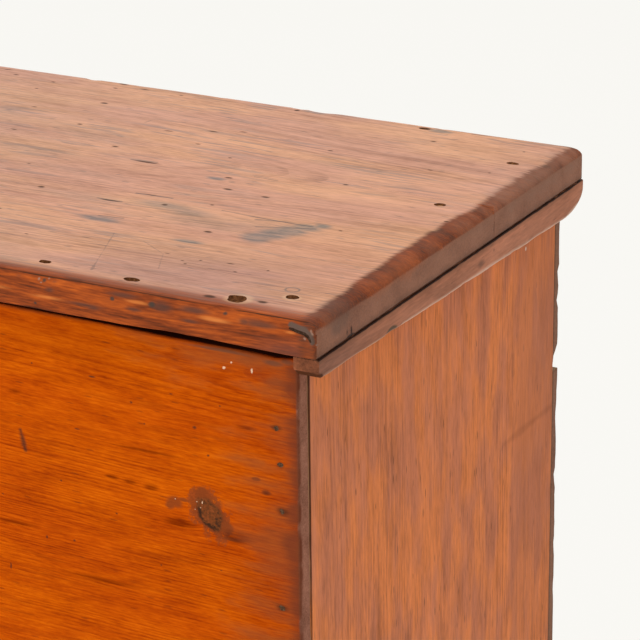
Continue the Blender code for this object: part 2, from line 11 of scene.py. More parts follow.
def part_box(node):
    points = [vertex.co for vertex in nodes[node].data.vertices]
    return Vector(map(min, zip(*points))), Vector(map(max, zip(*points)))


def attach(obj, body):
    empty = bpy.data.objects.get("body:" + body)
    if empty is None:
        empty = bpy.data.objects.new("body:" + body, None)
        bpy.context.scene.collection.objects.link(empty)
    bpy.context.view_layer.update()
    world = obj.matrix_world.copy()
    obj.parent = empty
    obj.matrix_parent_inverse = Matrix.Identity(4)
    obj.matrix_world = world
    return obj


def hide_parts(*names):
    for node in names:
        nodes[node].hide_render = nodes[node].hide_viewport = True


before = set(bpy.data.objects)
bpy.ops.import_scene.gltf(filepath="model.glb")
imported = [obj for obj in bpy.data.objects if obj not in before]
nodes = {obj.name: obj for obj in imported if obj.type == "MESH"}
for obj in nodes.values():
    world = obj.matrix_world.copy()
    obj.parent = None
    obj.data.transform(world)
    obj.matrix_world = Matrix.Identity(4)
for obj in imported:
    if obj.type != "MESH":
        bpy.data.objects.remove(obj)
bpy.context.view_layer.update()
mm = 0.001


def boxOf(node):
    return [Vector(c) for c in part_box(node)]


endBox, frontBox = boxOf("right_end"), boxOf("front_board")
lidBox = [boxOf("lid_front_board")[0], boxOf("lid_rear_board")[1]]
corner = Vector((endBox[1].x, frontBox[0].y, endBox[1].z))  # outer top front corner of the case
caseWidth = (endBox[1].x - boxOf("left_end")[0].x) / mm
lidUnder, lidTop = (c[2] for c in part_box("lid_front_board"))
underZ, topZ = ((z - corner.z) / mm for z in (lidUnder, lidTop))  # the same, from that corner
lidEnds = [(lidBox[side].x - corner.x) / mm for side in (1, 0)]  # right, left
lidRun = (-12, 424)  # where a line along a lid end starts and stops


def fromCorner(x, y, z):  # millimetres from that corner, as a point in the frame
    return corner + Vector((x, y, z)) * mm


def lineFrom(start, stop, width):
    return fromCorner(*start), fromCorner(*stop), width * mm


def patchFrom(centre, halves):
    return fromCorner(*centre), Vector(halves) * mm


# node helpers


class Graph:  # a node tree, with short ways to add to it

    def __init__(self, tree):
        self.tree = tree

    def node(self, kind, **settings):
        made = self.tree.nodes.new("ShaderNode" + kind)
        for key, value in settings.items():
            setattr(made, key, value)
        return made

    def feed(self, socket, value):
        if isinstance(value, bpy.types.NodeSocket):
            self.tree.links.new(value, socket)
        elif value is not None:
            socket.default_value = value

    def calc(self, operation, *values):
        made = self.node("Math", operation=operation)
        for socket, value in zip(made.inputs, values):
            self.feed(socket, value)
        return made.outputs[0]

    def plus(self, first, second):
        return self.calc("ADD", first, second)

    def minus(self, first, second):
        return self.calc("SUBTRACT", first, second)

    def times(self, first, second):
        return self.calc("MULTIPLY", first, second)

    def mulAdd(self, value, share, base):
        return self.calc("MULTIPLY_ADD", value, share, base)

    def larger(self, first, second):
        return second if first is None else self.calc("MAXIMUM", first, second)

    def vec(self, operation, first, second=None, scale=None):
        made = self.node("VectorMath", operation=operation)
        self.feed(made.inputs[0], first)
        self.feed(made.inputs[1], second)
        if scale is not None:
            self.feed(made.inputs["Scale"], scale)
        return made.outputs["Value" if operation in ("LENGTH", "DOT_PRODUCT") else "Vector"]

    def split(self, vector):
        made = self.node("SeparateXYZ")
        self.feed(made.inputs[0], vector)
        return made.outputs

    def spread(self, value, fromLow, fromHigh, toLow=0.0, toHigh=1.0):
        # smooth steps end by themselves, so they need no clamp
        made = self.node("MapRange", interpolation_type="SMOOTHSTEP", clamp=False)
        labels = ("Value", "From Min", "From Max", "To Min", "To Max")
        for label, item in zip(labels, (value, fromLow, fromHigh, toLow, toHigh)):
            self.feed(made.inputs[label], item)
        return made.outputs["Result"]

    def cloud(self, vector, detail=3.0, roughness=0.55, dimensions="3D"):
        made = self.node("TexNoise", noise_dimensions=dimensions)
        self.feed(made.inputs["W" if dimensions == "1D" else "Vector"], vector)
        for label, value in (("Scale", 1.0), ("Detail", detail), ("Roughness", roughness)):
            made.inputs[label].default_value = value
        return made.outputs

    def mottle(self, vector, detail=3.0, roughness=0.55):  # noise about zero
        return self.minus(self.cloud(vector, detail, roughness)["Fac"], 0.5)

    def stretched(self, vector, along, across, seed):  # noise cells drawn out along the grain
        return self.vec("ADD", self.vec("MULTIPLY", vector, (along, across, across)), seed)

    def ramp(self, value, stops):
        made = self.node("ValToRGB")
        marks = made.color_ramp.elements
        while len(marks) < len(stops):
            marks.new(1.0)
        for stop, (place, colour) in zip(marks, stops):
            stop.position = place
            stop.color = (*colour, 1.0)
        self.feed(made.inputs["Fac"], value)
        return made.outputs["Color"]

    def tint(self, amount, base, colour, blend="MIX"):
        made = self.node("Mix", data_type="RGBA", blend_type=blend)
        self.feed(made.inputs[0], amount)
        self.feed(made.inputs[6], base)
        self.feed(made.inputs[7], (*colour, 1.0) if isinstance(colour, tuple) else colour)
        return made.outputs[2]

    def place(self, group, **values):
        made = self.node("Group", node_tree=group)
        for key, value in values.items():
            self.feed(made.inputs[key], value)
        return made.outputs


def startGroup(name, vectors, values, outputs):
    tree = bpy.data.node_groups.new(name, "ShaderNodeTree")
    for labels, way, kind in ((vectors, "INPUT", "Vector"), (values, "INPUT", "Float"),
                              (outputs, "OUTPUT", "Float")):
        for label in labels:
            tree.interface.new_socket(label, in_out=way, socket_type="NodeSocket" + kind)
    return Graph(tree), tree.nodes.new("NodeGroupInput").outputs, tree.nodes.new("NodeGroupOutput").inputs


# shared effects, each built once


def buildPineGrain():
    g, given, out = startGroup(
        "pineGrain",
        ["Grain", "Pith", "Seed", "StreakRun", "FibreRun", "DashRun", "ToneRun", "HueRun"],
        ["RingWidth", "Wander", "Swell"],
        ["Late", "Streak", "Fibre", "Dash", "Fleck", "Tone", "Hue"])
    along, seed = given["Grain"], given["Seed"]
    drift = g.cloud(g.stretched(along, 1.4, 3.0, seed), 2.0)["Color"]
    drift = g.vec("SCALE", g.vec("SUBTRACT", drift, (0.5, 0.5, 0.5)), scale=given["Wander"])
    along = g.vec("ADD", along, drift)

    x, y, z = g.split(along)
    lean, offset, depth = g.split(given["Pith"])  # lean along the board, offset across, depth
    across = g.minus(y, offset)
    through = g.mulAdd(x, lean, g.minus(z, depth))
    radius = g.calc("SQRT", g.plus(g.calc("POWER", across, 2.0), g.calc("POWER", through, 2.0)))
    ripple = g.times(g.mottle(g.stretched(along, 11.0, 34.0, seed), 2.0), 0.0022)
    radius = g.plus(g.plus(radius, ripple), given["Swell"])
    years = g.cloud(g.times(radius, 95.0), 1.0, 0.5, "1D")["Fac"]
    season = g.calc("FRACT", g.mulAdd(years, 2.4, g.calc("DIVIDE", radius, given["RingWidth"])))
    late = g.times(g.spread(season, 0.4, 0.9), g.spread(season, 1.0, 0.94))
    bold = g.cloud(g.stretched(along, 4.0, 26.0, seed))["Fac"]
    g.feed(out["Late"], g.times(late, g.spread(bold, 0.38, 0.64, 0.1, 1.0)))

    def drawnOut(label, shift):
        return g.vec("ADD", g.vec("MULTIPLY", along, given[label + "Run"]), shift)

    farSeed = g.vec("SCALE", seed, scale=1.3)
    for label, shift, detail, roughness in (("Streak", seed, 5.0, 0.6), ("Tone", seed, 4.0, 0.55),
                                            ("Hue", farSeed, 3.0, 0.5)):
        g.feed(out[label], g.cloud(drawnOut(label, shift), detail, roughness)["Fac"])

    fibre = drawnOut("Fibre", seed)
    long = g.mulAdd(g.cloud(fibre, 3.0, 0.6)["Fac"], 0.6, -0.15)
    short = g.cloud(g.vec("MULTIPLY", fibre, (5.0, 1.45, 1.45)), 2.0, 0.6)["Fac"]
    g.feed(out["Fibre"], g.mulAdd(short, 0.7, long))

    dash = drawnOut("Dash", seed)
    thick = g.spread(g.cloud(g.vec("MULTIPLY", dash, (0.55, 0.45, 0.45)))["Fac"], 0.58, 0.65)
    thin = g.spread(g.cloud(dash, 2.0, 0.5)["Fac"], 0.57, 0.66)
    crowd = g.cloud(g.stretched(along, 8.0, 26.0, g.vec("SCALE", seed, scale=1.7)))["Fac"]
    dashes = g.larger(g.times(thick, 0.8), thin)
    g.feed(out["Dash"], g.times(dashes, g.spread(crowd, 0.4, 0.6, 0.15, 1.0)))

    pores = g.node("TexVoronoi", feature="F1")
    g.feed(pores.inputs["Vector"], g.stretched(along, 70.0, 420.0, seed))
    pores.inputs["Scale"].default_value = 1.0
    chance = g.node("SeparateColor")
    g.feed(chance.inputs[0], pores.outputs["Color"])
    few = g.spread(chance.outputs[0], 0.86, 0.97)
    g.feed(out["Fleck"], g.times(g.spread(pores.outputs["Distance"], 0.34, 0.12), few))
    return g.tree


def buildArrisDistance():
    g, given, out = startGroup("arrisDistance", ["Vector", "Low", "High"], [], ["Distance"])
    spot = given["Vector"]
    inside = g.vec("MINIMUM", g.vec("SUBTRACT", spot, given["Low"]), g.vec("SUBTRACT", given["High"], spot))
    a, b, c = g.split(inside)
    rest = g.calc("MINIMUM", g.larger(a, b), c)
    # the middle one of three is how far the nearest arris is
    g.feed(out["Distance"], g.larger(g.calc("MINIMUM", a, b), rest))
    return g.tree


def buildStainPatch():
    g, given, out = startGroup("stainPatch", ["Vector", "Centre", "Size"], ["Ragged", "Soft"], ["Mask"])
    offset = g.vec("DIVIDE", g.vec("SUBTRACT", given["Vector"], given["Centre"]), given["Size"])
    reach = g.plus(g.vec("LENGTH", offset), given["Ragged"])
    g.feed(out["Mask"], g.spread(reach, 1.0, g.minus(1.0, given["Soft"])))
    return g.tree


def buildScratchLine():
    g, given, out = startGroup("scratchLine", ["Vector", "From", "To"], ["Width", "Ragged"], ["Mask"])
    run = g.vec("SUBTRACT", given["To"], given["From"])
    offset = g.vec("SUBTRACT", given["Vector"], given["From"])
    share = g.calc("DIVIDE", g.vec("DOT_PRODUCT", offset, run), g.vec("DOT_PRODUCT", run, run))
    share = g.calc("MINIMUM", g.larger(share, 0.0), 1.0)
    away = g.vec("LENGTH", g.vec("SUBTRACT", offset, g.vec("SCALE", run, scale=share)))
    away = g.mulAdd(given["Ragged"], given["Width"], away)
    g.feed(out["Mask"], g.spread(away, given["Width"], 0.0))
    return g.tree


pineGrain = buildPineGrain()
arrisDistance = buildArrisDistance()
stainPatch = buildStainPatch()
scratchLine = buildScratchLine()
print("stage: shared effects ready")


# pine finishes


def shades(base, *stops):  # one colour, paler and darker along a ramp
    return [(place, tuple(part * share for part in base)) for place, share in stops]


knotPalette = [
    (0.0, (0.24, 0.06, 0.018)), (0.4, (0.155, 0.042, 0.012)), (0.7, (0.115, 0.036, 0.012)),
    (1.0, (0.04, 0.018, 0.01)),
]
haloPalette = [(0.0, (0.28, 0.055, 0.013)), (0.5, (0.19, 0.04, 0.011)), (1.0, (0.11, 0.03, 0.012))]
pineBasics = {
    "grain": "X", "face": "Z", "pith": (0.02, 0.01, -0.09), "ringWidth": 0.0034, "wander": 0.03,
    "palette": [(0.0, (0.60, 0.24, 0.08)), (0.5, (0.44, 0.16, 0.05)), (1.0, (0.20, 0.06, 0.02))],
    "level": 0.34, "late": 0.3, "streak": 1.3, "fibre": 0.7, "tone": 1.0, "hues": None,
    "streakRun": (2.0, 80.0, 80.0), "fibreRun": (10.0, 420.0, 420.0), "toneRun": (5.0, 14.0, 14.0),
    "hueRun": (2.0, 6.0, 6.0),
    "dash": 0.4, "dashRun": (16.0, 240.0, 240.0), "dashColour": (0.13, 0.06, 0.035),
    "fleck": 0.6, "fleckColour": (0.07, 0.03, 0.015),
    "endPalette": [(0.0, (0.34, 0.15, 0.07)), (1.0, (0.12, 0.05, 0.028))],
    "flatPalette": None, "frontPalette": None,  # a lid has these two as well
    "dirtWidth": 0.004, "dirt": 0.35, "dirtColour": (0.06, 0.03, 0.018),
    "marks": [], "knots": [],
    "rough": 0.44, "roughSpread": 0.3, "specular": 0.2, "coat": 0.0, "bump": 0.35,
}


def mark(places, colour, amount, soft=0.5, **more):  # each place is a centre and its half lengths
    return {"places": places, "colour": colour, "amount": amount, "soft": soft, **more}


def wash(places, colour, amount, soft=0.95, **more):  # a stain that the figure shows through
    return mark(places, colour, amount, soft, blend="MULTIPLY", **more)


def score(lines, colour, amount, ragged, **more):  # scratches and dark lines
    return mark([], colour, amount, lines=lines, ragged=ragged, **more)


def bareSide(node, axis, side):  # the unfinished inner face of a board
    box = boxOf(node)
    centre = (box[0] + box[1]) / 2
    centre[axis] = box[side][axis]
    size = Vector((2.0, 2.0, 2.0))
    size[axis] = (box[1][axis] - box[0][axis]) * 0.12
    return mark([(centre, size)], (0.4, 0.24, 0.115), 0.88, 0.3, ragged=0.1, figure=True)


def newFinish(name):
    finish = bpy.data.materials.new(name)
    finish.use_nodes = True
    return finish, Graph(finish.node_tree), finish.node_tree.nodes["Principled BSDF"]


def setShader(g, shader, colour, rough, height, bumpStrength, bumpDepth, specular):
    bump = g.node("Bump")
    bump.inputs["Strength"].default_value = bumpStrength
    bump.inputs["Distance"].default_value = bumpDepth
    g.feed(bump.inputs["Height"], height)
    for label, value in (("Base Color", colour), ("Roughness", rough), ("Normal", bump.outputs["Normal"])):
        g.feed(shader.inputs[label], value)
    shader.inputs["Specular IOR Level"].default_value = specular


def ringSwell(g, spot, knots):  # rings bend round a knot
    swell, cores = None, []
    for centre, size, push in knots:
        offset = g.vec("DIVIDE", g.vec("SUBTRACT", spot, tuple(centre)), tuple(size))
        lean = g.vec("SCALE", (1.0, 0.0, 0.0), scale=g.vec("DOT_PRODUCT", offset, (0.0, 0.0, 0.42)))
        offset = g.vec("ADD", offset, lean)
        away = g.vec("LENGTH", offset)
        hill = g.times(g.calc("EXPONENT", g.times(g.calc("POWER", away, 2.0), -0.45)), push)
        swell = hill if swell is None else g.plus(swell, hill)
        cores.append((away, g.vec("DOT_PRODUCT", offset, (-0.75, 0.0, -0.65))))
    return swell, cores


def sawnEnd(wood, cfg):
    g = wood.g
    shakes = g.mulAdd(g.plus(wood.ragged, wood.fine), 1.1, 1.0)
    mask = g.spread(g.times(shakes, wood.endOn), 0.2, 0.72)
    return mask, g.ramp(g.mulAdd(g.plus(wood.patchy, wood.fine), 1.6, 0.5), cfg["endPalette"])


def lidEnd(wood, cfg):  # dark bristles on the top, a redder round, then the sawn flat
    g, patchy, across = wood.g, wood.patchy, wood.run[1]
    fromEnd = g.minus(wood.halfLength, g.calc("ABSOLUTE", wood.run[0]))
    bristle = g.mottle(g.stretched(wood.along, 45.0, 820.0, wood.seed), 3.0, 0.6)
    limit = g.spread(across, -0.217, -0.08, 0.0118, 0.0160)
    for start, stop, change in ((0.005, 0.05, -0.0042), (0.13, 0.2, -0.0022)):
        limit = g.plus(limit, g.spread(across, start, stop, 0.0, change))
    creep = g.mulAdd(wood.grain["Late"], 0.4, bristle)
    creep = g.mulAdd(creep, -0.006, g.minus(fromEnd, limit))
    creep = g.mulAdd(patchy, 0.006, creep)
    rounded = g.mulAdd(bristle, 1.5, g.mulAdd(patchy, 1.7, 0.44))
    rounded = g.mulAdd(wood.ragged, 0.8, rounded)
    rounded = g.plus(g.spread(creep, -0.006, 0.0, 0.0, 0.16), rounded)
    flat = g.mulAdd(g.plus(patchy, bristle), 0.8, 0.5)
    flatMask = g.spread(g.mulAdd(patchy, 0.14, wood.endOn), 0.87, 0.985)
    colour = g.tint(flatMask, g.ramp(rounded, cfg["endPalette"]), g.ramp(flat, cfg["flatPalette"]))
    return g.spread(creep, 0.0034, -0.003), colour


def lidFrontEdge(wood, cfg):  # the front edge kept its old red finish
    g, ragged, fine = wood.g, wood.ragged, wood.fine
    smoke = g.mottle(g.stretched(wood.along, 15.0, 130.0, wood.seed), 4.0, 0.62)
    frontOn = g.times(g.vec("DOT_PRODUCT", wood.facing, (0.0, 1.0, 0.0)), -1.0)
    fromFront = g.plus(wood.run[1], wood.halfWidth)
    fromFront = g.mulAdd(g.plus(ragged, g.plus(fine, smoke)), 0.014, fromFront)
    mask = g.spread(g.mulAdd(ragged, 0.4, frontOn), 0.1, 0.38)
    mask = g.larger(mask, g.spread(fromFront, 0.021, 0.008, 0.0, 0.9))
    shade = g.mulAdd(ragged, 0.5, g.mulAdd(wood.patchy, 0.3, 0.56))
    shade = g.mulAdd(fine, 1.1, g.mulAdd(smoke, 1.3, shade))
    soot = g.spread(wood.grain["Hue"], 0.52, 0.68, 0.0, 0.5)
    return mask, g.tint(soot, g.ramp(shade, cfg["frontPalette"]), (0.15, 0.052, 0.036))


def addKnots(wood, cores):  # a mottled heart, darker along its lower side, in a red halo
    g = wood.g
    for away, lower in cores:
        gnarl = g.mottle(g.vec("SCALE", wood.spot, scale=120.0))
        grit = g.mottle(g.vec("SCALE", wood.spot, scale=620.0), 3.0, 0.6)
        wild = g.mulAdd(grit, 0.3, g.mulAdd(gnarl, 0.75, away))
        heart = g.spread(wild, 1.1, 0.86)
        rim = g.spread(g.calc("ABSOLUTE", g.minus(wild, 0.88)), 0.2, 0.04)
        rim = g.times(rim, g.spread(lower, 0.0, 0.8, 0.0, 0.55))
        shade = g.mulAdd(grit, 2.2, g.mulAdd(gnarl, 1.4, 0.5))
        haloShade = g.mulAdd(grit, 2.2, g.mulAdd(gnarl, 1.4, 0.55))
        halo = g.spread(g.mulAdd(g.plus(gnarl, grit), 1.1, wild), 1.62, 1.25, 0.0, 0.85)
        wood.colour = g.tint(halo, wood.colour, g.ramp(haloShade, haloPalette))
        wood.colour = g.tint(g.times(heart, 0.97), wood.colour, g.ramp(g.plus(shade, rim), knotPalette))
        wood.relief = g.mulAdd(heart, -1.0, wood.relief)


def markMask(wood, item, spot):
    g, mask, soft = wood.g, None, item["soft"]
    shakes = g.times(wood.ragged, item.get("ragged", 1.2))
    if item.get("blotch"):
        shakes = g.mulAdd(wood.patchy, item["blotch"], shakes)
    for centre, size in item["places"]:
        edge = {"Vector": spot, "Centre": tuple(centre), "Ragged": shakes, "Soft": soft}
        one = g.place(stainPatch, Size=tuple(size), **edge)["Mask"]
        if item.get("hollow"):
            one = g.minus(one, g.place(stainPatch, Size=tuple(size * item["hollow"]), **edge)["Mask"])
        mask = g.larger(mask, one)
    for start, stop, width in item.get("lines", []):
        ends = {"From": tuple(start), "To": tuple(stop)}
        mask = g.larger(mask, g.place(scratchLine, Vector=spot, Width=width, Ragged=shakes, **ends)["Mask"])
    if item.get("figure"):
        lines = g.mulAdd(wood.grain["Late"], 0.6, 0.4)
        lines = g.mulAdd(g.plus(wood.fine, wood.ragged), 1.6, lines)
        mask = g.times(mask, g.spread(lines, 0.0, 0.6, 0.62, 1.0))
    return mask


def addMarks(wood, marks):  # stains, dents and paint specks, and painted shade, shadow and highlights
    g = wood.g
    waver = g.vec("SCALE", (1.0, 1.0, 1.0), scale=g.times(wood.fine, 0.0015))
    spot = g.vec("ADD", wood.spot, waver)  # the outlines of marks waver with the fibres
    for item in marks:
        mask = markMask(wood, item, spot)
        amount = g.times(mask, item["amount"])
        wood.colour = g.tint(amount, wood.colour, item["colour"], item.get("blend", "MIX"))
        if item.get("sink"):
            wood.relief = g.mulAdd(mask, -item["sink"], wood.relief)
        if item.get("rough"):
            wood.gloss = g.mulAdd(mask, item["rough"], wood.gloss)
        if wood.coat is not None and item.get("dull"):
            wood.coat = g.times(wood.coat, g.mulAdd(mask, -item["dull"], 1.0))


def pineFinish(name, low, high, **changes):
    cfg = {**pineBasics, **changes}
    finish, g, shader = newFinish(name)
    low, high = Vector(low), Vector(high)
    width = ({"X", "Y", "Z"} - {cfg["grain"], cfg["face"]}).pop()
    order = ["XYZ".index(axis) for axis in (cfg["grain"], width, cfg["face"])]  # along, across, through
    where = g.node("TexCoord")
    spot, facing = where.outputs["Object"], where.outputs["Normal"]
    parts = g.split(g.vec("SUBTRACT", spot, tuple((low + high) / 2)))
    along = g.node("CombineXYZ")
    for socket, axis in zip(along.inputs, order):
        g.feed(socket, parts[axis])
    along = along.outputs[0]
    seeded = random.Random(cfg.get("seedName", name))
    seed = tuple(seeded.uniform(0.0, 40.0) for _ in range(3))

    swell, cores = ringSwell(g, spot, cfg["knots"])
    labels = ("Pith", "StreakRun", "FibreRun", "DashRun", "ToneRun", "HueRun", "RingWidth", "Wander")
    figure = {label: cfg[label[0].lower() + label[1:]] for label in labels}
    grain = g.place(pineGrain, Grain=along, Seed=seed, Swell=swell, **figure)
    ragged, patchy, fine = [g.minus(grain[label], 0.5) for label in ("Streak", "Tone", "Fibre")]
    level = g.mulAdd(grain["Late"], cfg["late"], cfg["level"])
    for value, share in ((ragged, cfg["streak"]), (fine, cfg["fibre"]), (patchy, cfg["tone"])):
        level = g.mulAdd(value, share, level)
    colour = g.ramp(level, cfg["palette"])
    if cfg["hues"]:  # soft patches lean from one tint to another
        lean = g.ramp(g.spread(grain["Hue"], 0.36, 0.64), cfg["hues"])
        colour = g.tint(1.0, colour, lean, "MULTIPLY")
    for label, key in (("Dash", "dash"), ("Fleck", "fleck")):
        colour = g.tint(g.times(grain[label], cfg[key]), colour, cfg[key + "Colour"])

    grainAxis = tuple(float(axis == cfg["grain"]) for axis in "XYZ")
    wood = SimpleNamespace(g=g, spot=spot, facing=facing, along=along, run=g.split(along), seed=seed,
                           grain=grain,
                           ragged=ragged, patchy=patchy, fine=fine, coat=None)
    wood.halfLength, wood.halfWidth = [(high - low)[axis] / 2 for axis in order[:2]]
    wood.endOn = g.calc("ABSOLUTE", g.vec("DOT_PRODUCT", facing, grainAxis))
    if cfg["coat"]:  # worn shellac, left on the top
        upward = g.vec("DOT_PRODUCT", facing, (0.0, 0.0, 1.0))
        wood.coat = g.times(g.spread(upward, 0.86, 0.985, 0.0, cfg["coat"]),
                            g.spread(level, 0.12, 0.75, 1.15, 0.45))
    if cfg["flatPalette"]:
        endMask, endColour = lidEnd(wood, cfg)
        frontMask, frontColour = lidFrontEdge(wood, cfg)
        colour = g.tint(frontMask, colour, frontColour)
        for mask in (endMask, frontMask):
            wood.coat = g.times(wood.coat, g.minus(1.0, mask))
    else:
        endMask, endColour = sawnEnd(wood, cfg)
    wood.colour = g.tint(endMask, colour, endColour)
    wood.relief = g.mulAdd(grain["Late"], 0.5, g.times(fine, 0.8))
    wood.relief = g.mulAdd(grain["Fleck"], -1.2, wood.relief)
    wood.gloss = g.mulAdd(patchy, cfg["roughSpread"], cfg["rough"])
    addKnots(wood, cores)
    addMarks(wood, cfg["marks"])

    arris = g.place(arrisDistance, Vector=spot, Low=tuple(low), High=tuple(high))["Distance"]
    arris = g.mulAdd(patchy, cfg["dirtWidth"] * 2.2, arris)
    grime = g.times(g.spread(arris, cfg["dirtWidth"], 0.0), cfg["dirt"])
    colour = g.tint(grime, wood.colour, cfg["dirtColour"])
    setShader(g, shader, colour, wood.gloss, wood.relief, cfg["bump"], 0.0006, cfg["specular"])
    g.feed(shader.inputs["Coat Weight"], wood.coat)
    shader.inputs["Coat Roughness"].default_value = 0.4
    return finish


plainBasics = {"rough": 0.8, "metallic": 0.0, "scale": 420.0, "bumpDepth": 0.0008, "specular": 0.0}
rampPlaces = (0.3, 0.5, 0.72)


def plainFinish(name, colours, places=rampPlaces, **changes):
    cfg = {**plainBasics, **changes}
    finish, g, shader = newFinish(name)
    spot = g.node("TexCoord").outputs["Object"]
    blotch = g.cloud(g.vec("SCALE", spot, scale=cfg["scale"]), 5.0, 0.6)["Fac"]
    pits = g.cloud(g.vec("SCALE", spot, scale=cfg["scale"] * 6.0), 3.0, 0.6)["Fac"]
    mixed = g.mulAdd(pits, 0.35, g.times(blotch, 0.65))
    colour = g.ramp(mixed, list(zip(places, colours)))
    setShader(g, shader, colour, g.mulAdd(blotch, 0.3, cfg["rough"]), mixed, 0.5, cfg["bumpDepth"],
              cfg["specular"])
    shader.inputs["Metallic"].default_value = cfg["metallic"]
    return finish


ironFinish = plainFinish(
    "wroughtIron", [(0.018, 0.016, 0.015), (0.05, 0.042, 0.036), (0.13, 0.05, 0.022)], (0.3, 0.52, 0.7),
    rough=0.45, metallic=0.75, scale=90.0, bumpDepth=0.0006, specular=0.5)
holeFinish = plainFinish(
    "brokenWood", [(0.025, 0.009, 0.004), (0.1, 0.036, 0.013), (0.28, 0.115, 0.045)], specular=0.05)
dentFinish = plainFinish("greyDent", [(0.016, 0.009, 0.006), (0.05, 0.026, 0.016), (0.11, 0.065, 0.046)])
nailFinish = plainFinish(
    "rustyNail", [(0.02, 0.009, 0.005), (0.06, 0.028, 0.014), (0.2, 0.115, 0.065)],
    rough=0.7, scale=500.0, bumpDepth=0.0006, specular=0.1)
plugFinish = plainFinish(
    "woodPlug", [(0.12, 0.05, 0.02), (0.3, 0.14, 0.055), (0.45, 0.24, 0.1)],
    rough=0.55, scale=500.0, bumpDepth=0.0005, specular=0.3)
print("stage: plain finishes ready")


# mesh helpers


def angles(start, stop, step):
    return [math.radians(a) for a in range(start, stop, step)]


def circle(steps):
    return [(math.cos(2 * math.pi * n / steps), math.sin(2 * math.pi * n / steps)) for n in range(steps)]


def pair(first, second):
    return frozenset((first, second))


def linesAlong(low, high, pitch, lowRim, highRim):
    count = max(2, round((high - low - lowRim - highRim) / pitch) + 1)
    return np.concatenate(([low], np.linspace(low + lowRim, high - highRim, count), [high]))


def linkMesh(name, mesh):
    piece = bpy.data.objects.new(name, mesh)
    bpy.context.scene.collection.objects.link(piece)
    return piece


def smooth(mesh, angle):
    mesh.shade_smooth()
    mesh.set_sharp_from_angle(angle=math.radians(angle))


def pieceFrom(bm, name, angle=None):
    bmesh.ops.recalc_face_normals(bm, faces=bm.faces)
    mesh = bpy.data.meshes.new(name)
    bm.to_mesh(mesh)
    bm.free()
    if angle:
        smooth(mesh, angle)
    return linkMesh(name, mesh)


def skinRings(bm, rings):  # a ring of one point closes in triangles
    faces = []
    for near, far in zip(rings, rings[1:]):
        for n in range(max(len(near), len(far))):
            quad = (near[n % len(near)], far[n % len(far)], far[(n + 1) % len(far)],
                    near[(n + 1) % len(near)])
            faces.append(bm.faces.new(list(dict.fromkeys(quad))))
    return faces


def bakeModifiers(piece):
    graph = bpy.context.evaluated_depsgraph_get()
    mesh = bpy.data.meshes.new_from_object(piece.evaluated_get(graph))
    piece.modifiers.clear()
    old = piece.data
    piece.data = mesh
    bpy.data.meshes.remove(old)


def sideNames(point, low, high):
    return {"xyz"[axis] + sign for axis in range(3) for sign, end in (("-", low), ("+", high))
            if abs(point[axis] - end[axis]) < 1e-7}


def gridBoard(name, low, high, pitch, rounds, plain=0.0012, segments=4):
    # a board skinned in a grid of quads, its arrises rounded by the radius named for each pair of sides
    def rim(side):
        return max([r for sides, r in rounds.items() if side in sides] + [plain]) * 1.15 + 0.0004

    lines = [linesAlong(low[i], high[i], pitch[i], rim("xyz"[i] + "-"), rim("xyz"[i] + "+"))
             for i in range(3)]
    bm = bmesh.new()
    corners = {}

    def vertex(*place):
        if place not in corners:
            corners[place] = bm.verts.new([lines[i][place[i]] for i in range(3)])
        return corners[place]

    for axis in range(3):
        first, second = [n for n in range(3) if n != axis]
        for side in (0, len(lines[axis]) - 1):
            for a in range(len(lines[first]) - 1):
                for b in range(len(lines[second]) - 1):
                    quad = []
                    for da, db in ((0, 0), (1, 0), (1, 1), (0, 1)):
                        place = [0, 0, 0]
                        place[axis], place[first], place[second] = side, a + da, b + db
                        quad.append(vertex(*place))
                    bm.faces.new(quad)
    weights = bm.edges.layers.float.new("bevel_weight_edge")
    widest = max([*rounds.values(), plain])
    for edge in bm.edges:
        shared = sideNames(edge.verts[0].co, low, high) & sideNames(edge.verts[1].co, low, high)
        if len(shared) == 2:
            edge[weights] = rounds.get(frozenset(shared), plain) / widest
    piece = pieceFrom(bm, name)
    bevel = piece.modifiers.new("arrises", "BEVEL")
    bevel.limit_method = "WEIGHT"
    bevel.width = widest
    bevel.segments = segments
    bakeModifiers(piece)
    return piece


wearReach = {"edge": 0.012, "fade": 0.003, "coarse": 46, "small": 150, "bite": 420, "angle": 38}


def wearBoard(piece, low, high, cfg):
    # plane waves, rubbed arrises and knocked chips, moved into the vertices
    middle = (low + high) / 2
    shift, keep = Vector(cfg["seed"]), cfg.get("keep", ())
    for vert in piece.data.vertices:
        spot = vert.co.copy()
        inside = [min(1.0 if "xyz"[i] + "-" in keep else spot[i] - low[i],
                      1.0 if "xyz"[i] + "+" in keep else high[i] - spot[i]) for i in range(3)]
        inwards = [1 if spot[i] < middle[i] else -1 for i in range(3)]
        inward = Vector([inwards[i] if inside[i] < wearReach["edge"] else 0 for i in range(3)])
        if inward.length > 0:
            inward.normalize()
        edge = math.exp(-sorted(inside)[1] / wearReach["fade"])
        rough = noise.noise(spot * wearReach["coarse"] + shift)
        rough += 0.5 * noise.noise(spot * wearReach["small"] + shift)
        move = inward * edge * cfg["rub"] * max(0.0, rough + 0.25)
        flat = inside.index(min(inside))
        wave = noise.noise(Vector([spot[i] * cfg["waveRun"][i] for i in range(3)]) + shift)
        push = Vector()
        push[flat] = inwards[flat] * cfg["waves"] * (0.5 + 0.5 * wave)
        move += push
        for centre, radius, depth in cfg["chips"]:
            away = (spot - centre).length / radius
            if away < 1.4:
                bite = noise.noise(spot * wearReach["bite"] + shift) * 0.35 + 1.0
                move += inward * depth * max(0.0, 1.0 - away * away * bite)
        if "bend" in cfg:
            move += cfg["bend"](spot)
        vert.co = spot + move
    smooth(piece.data, wearReach["angle"])


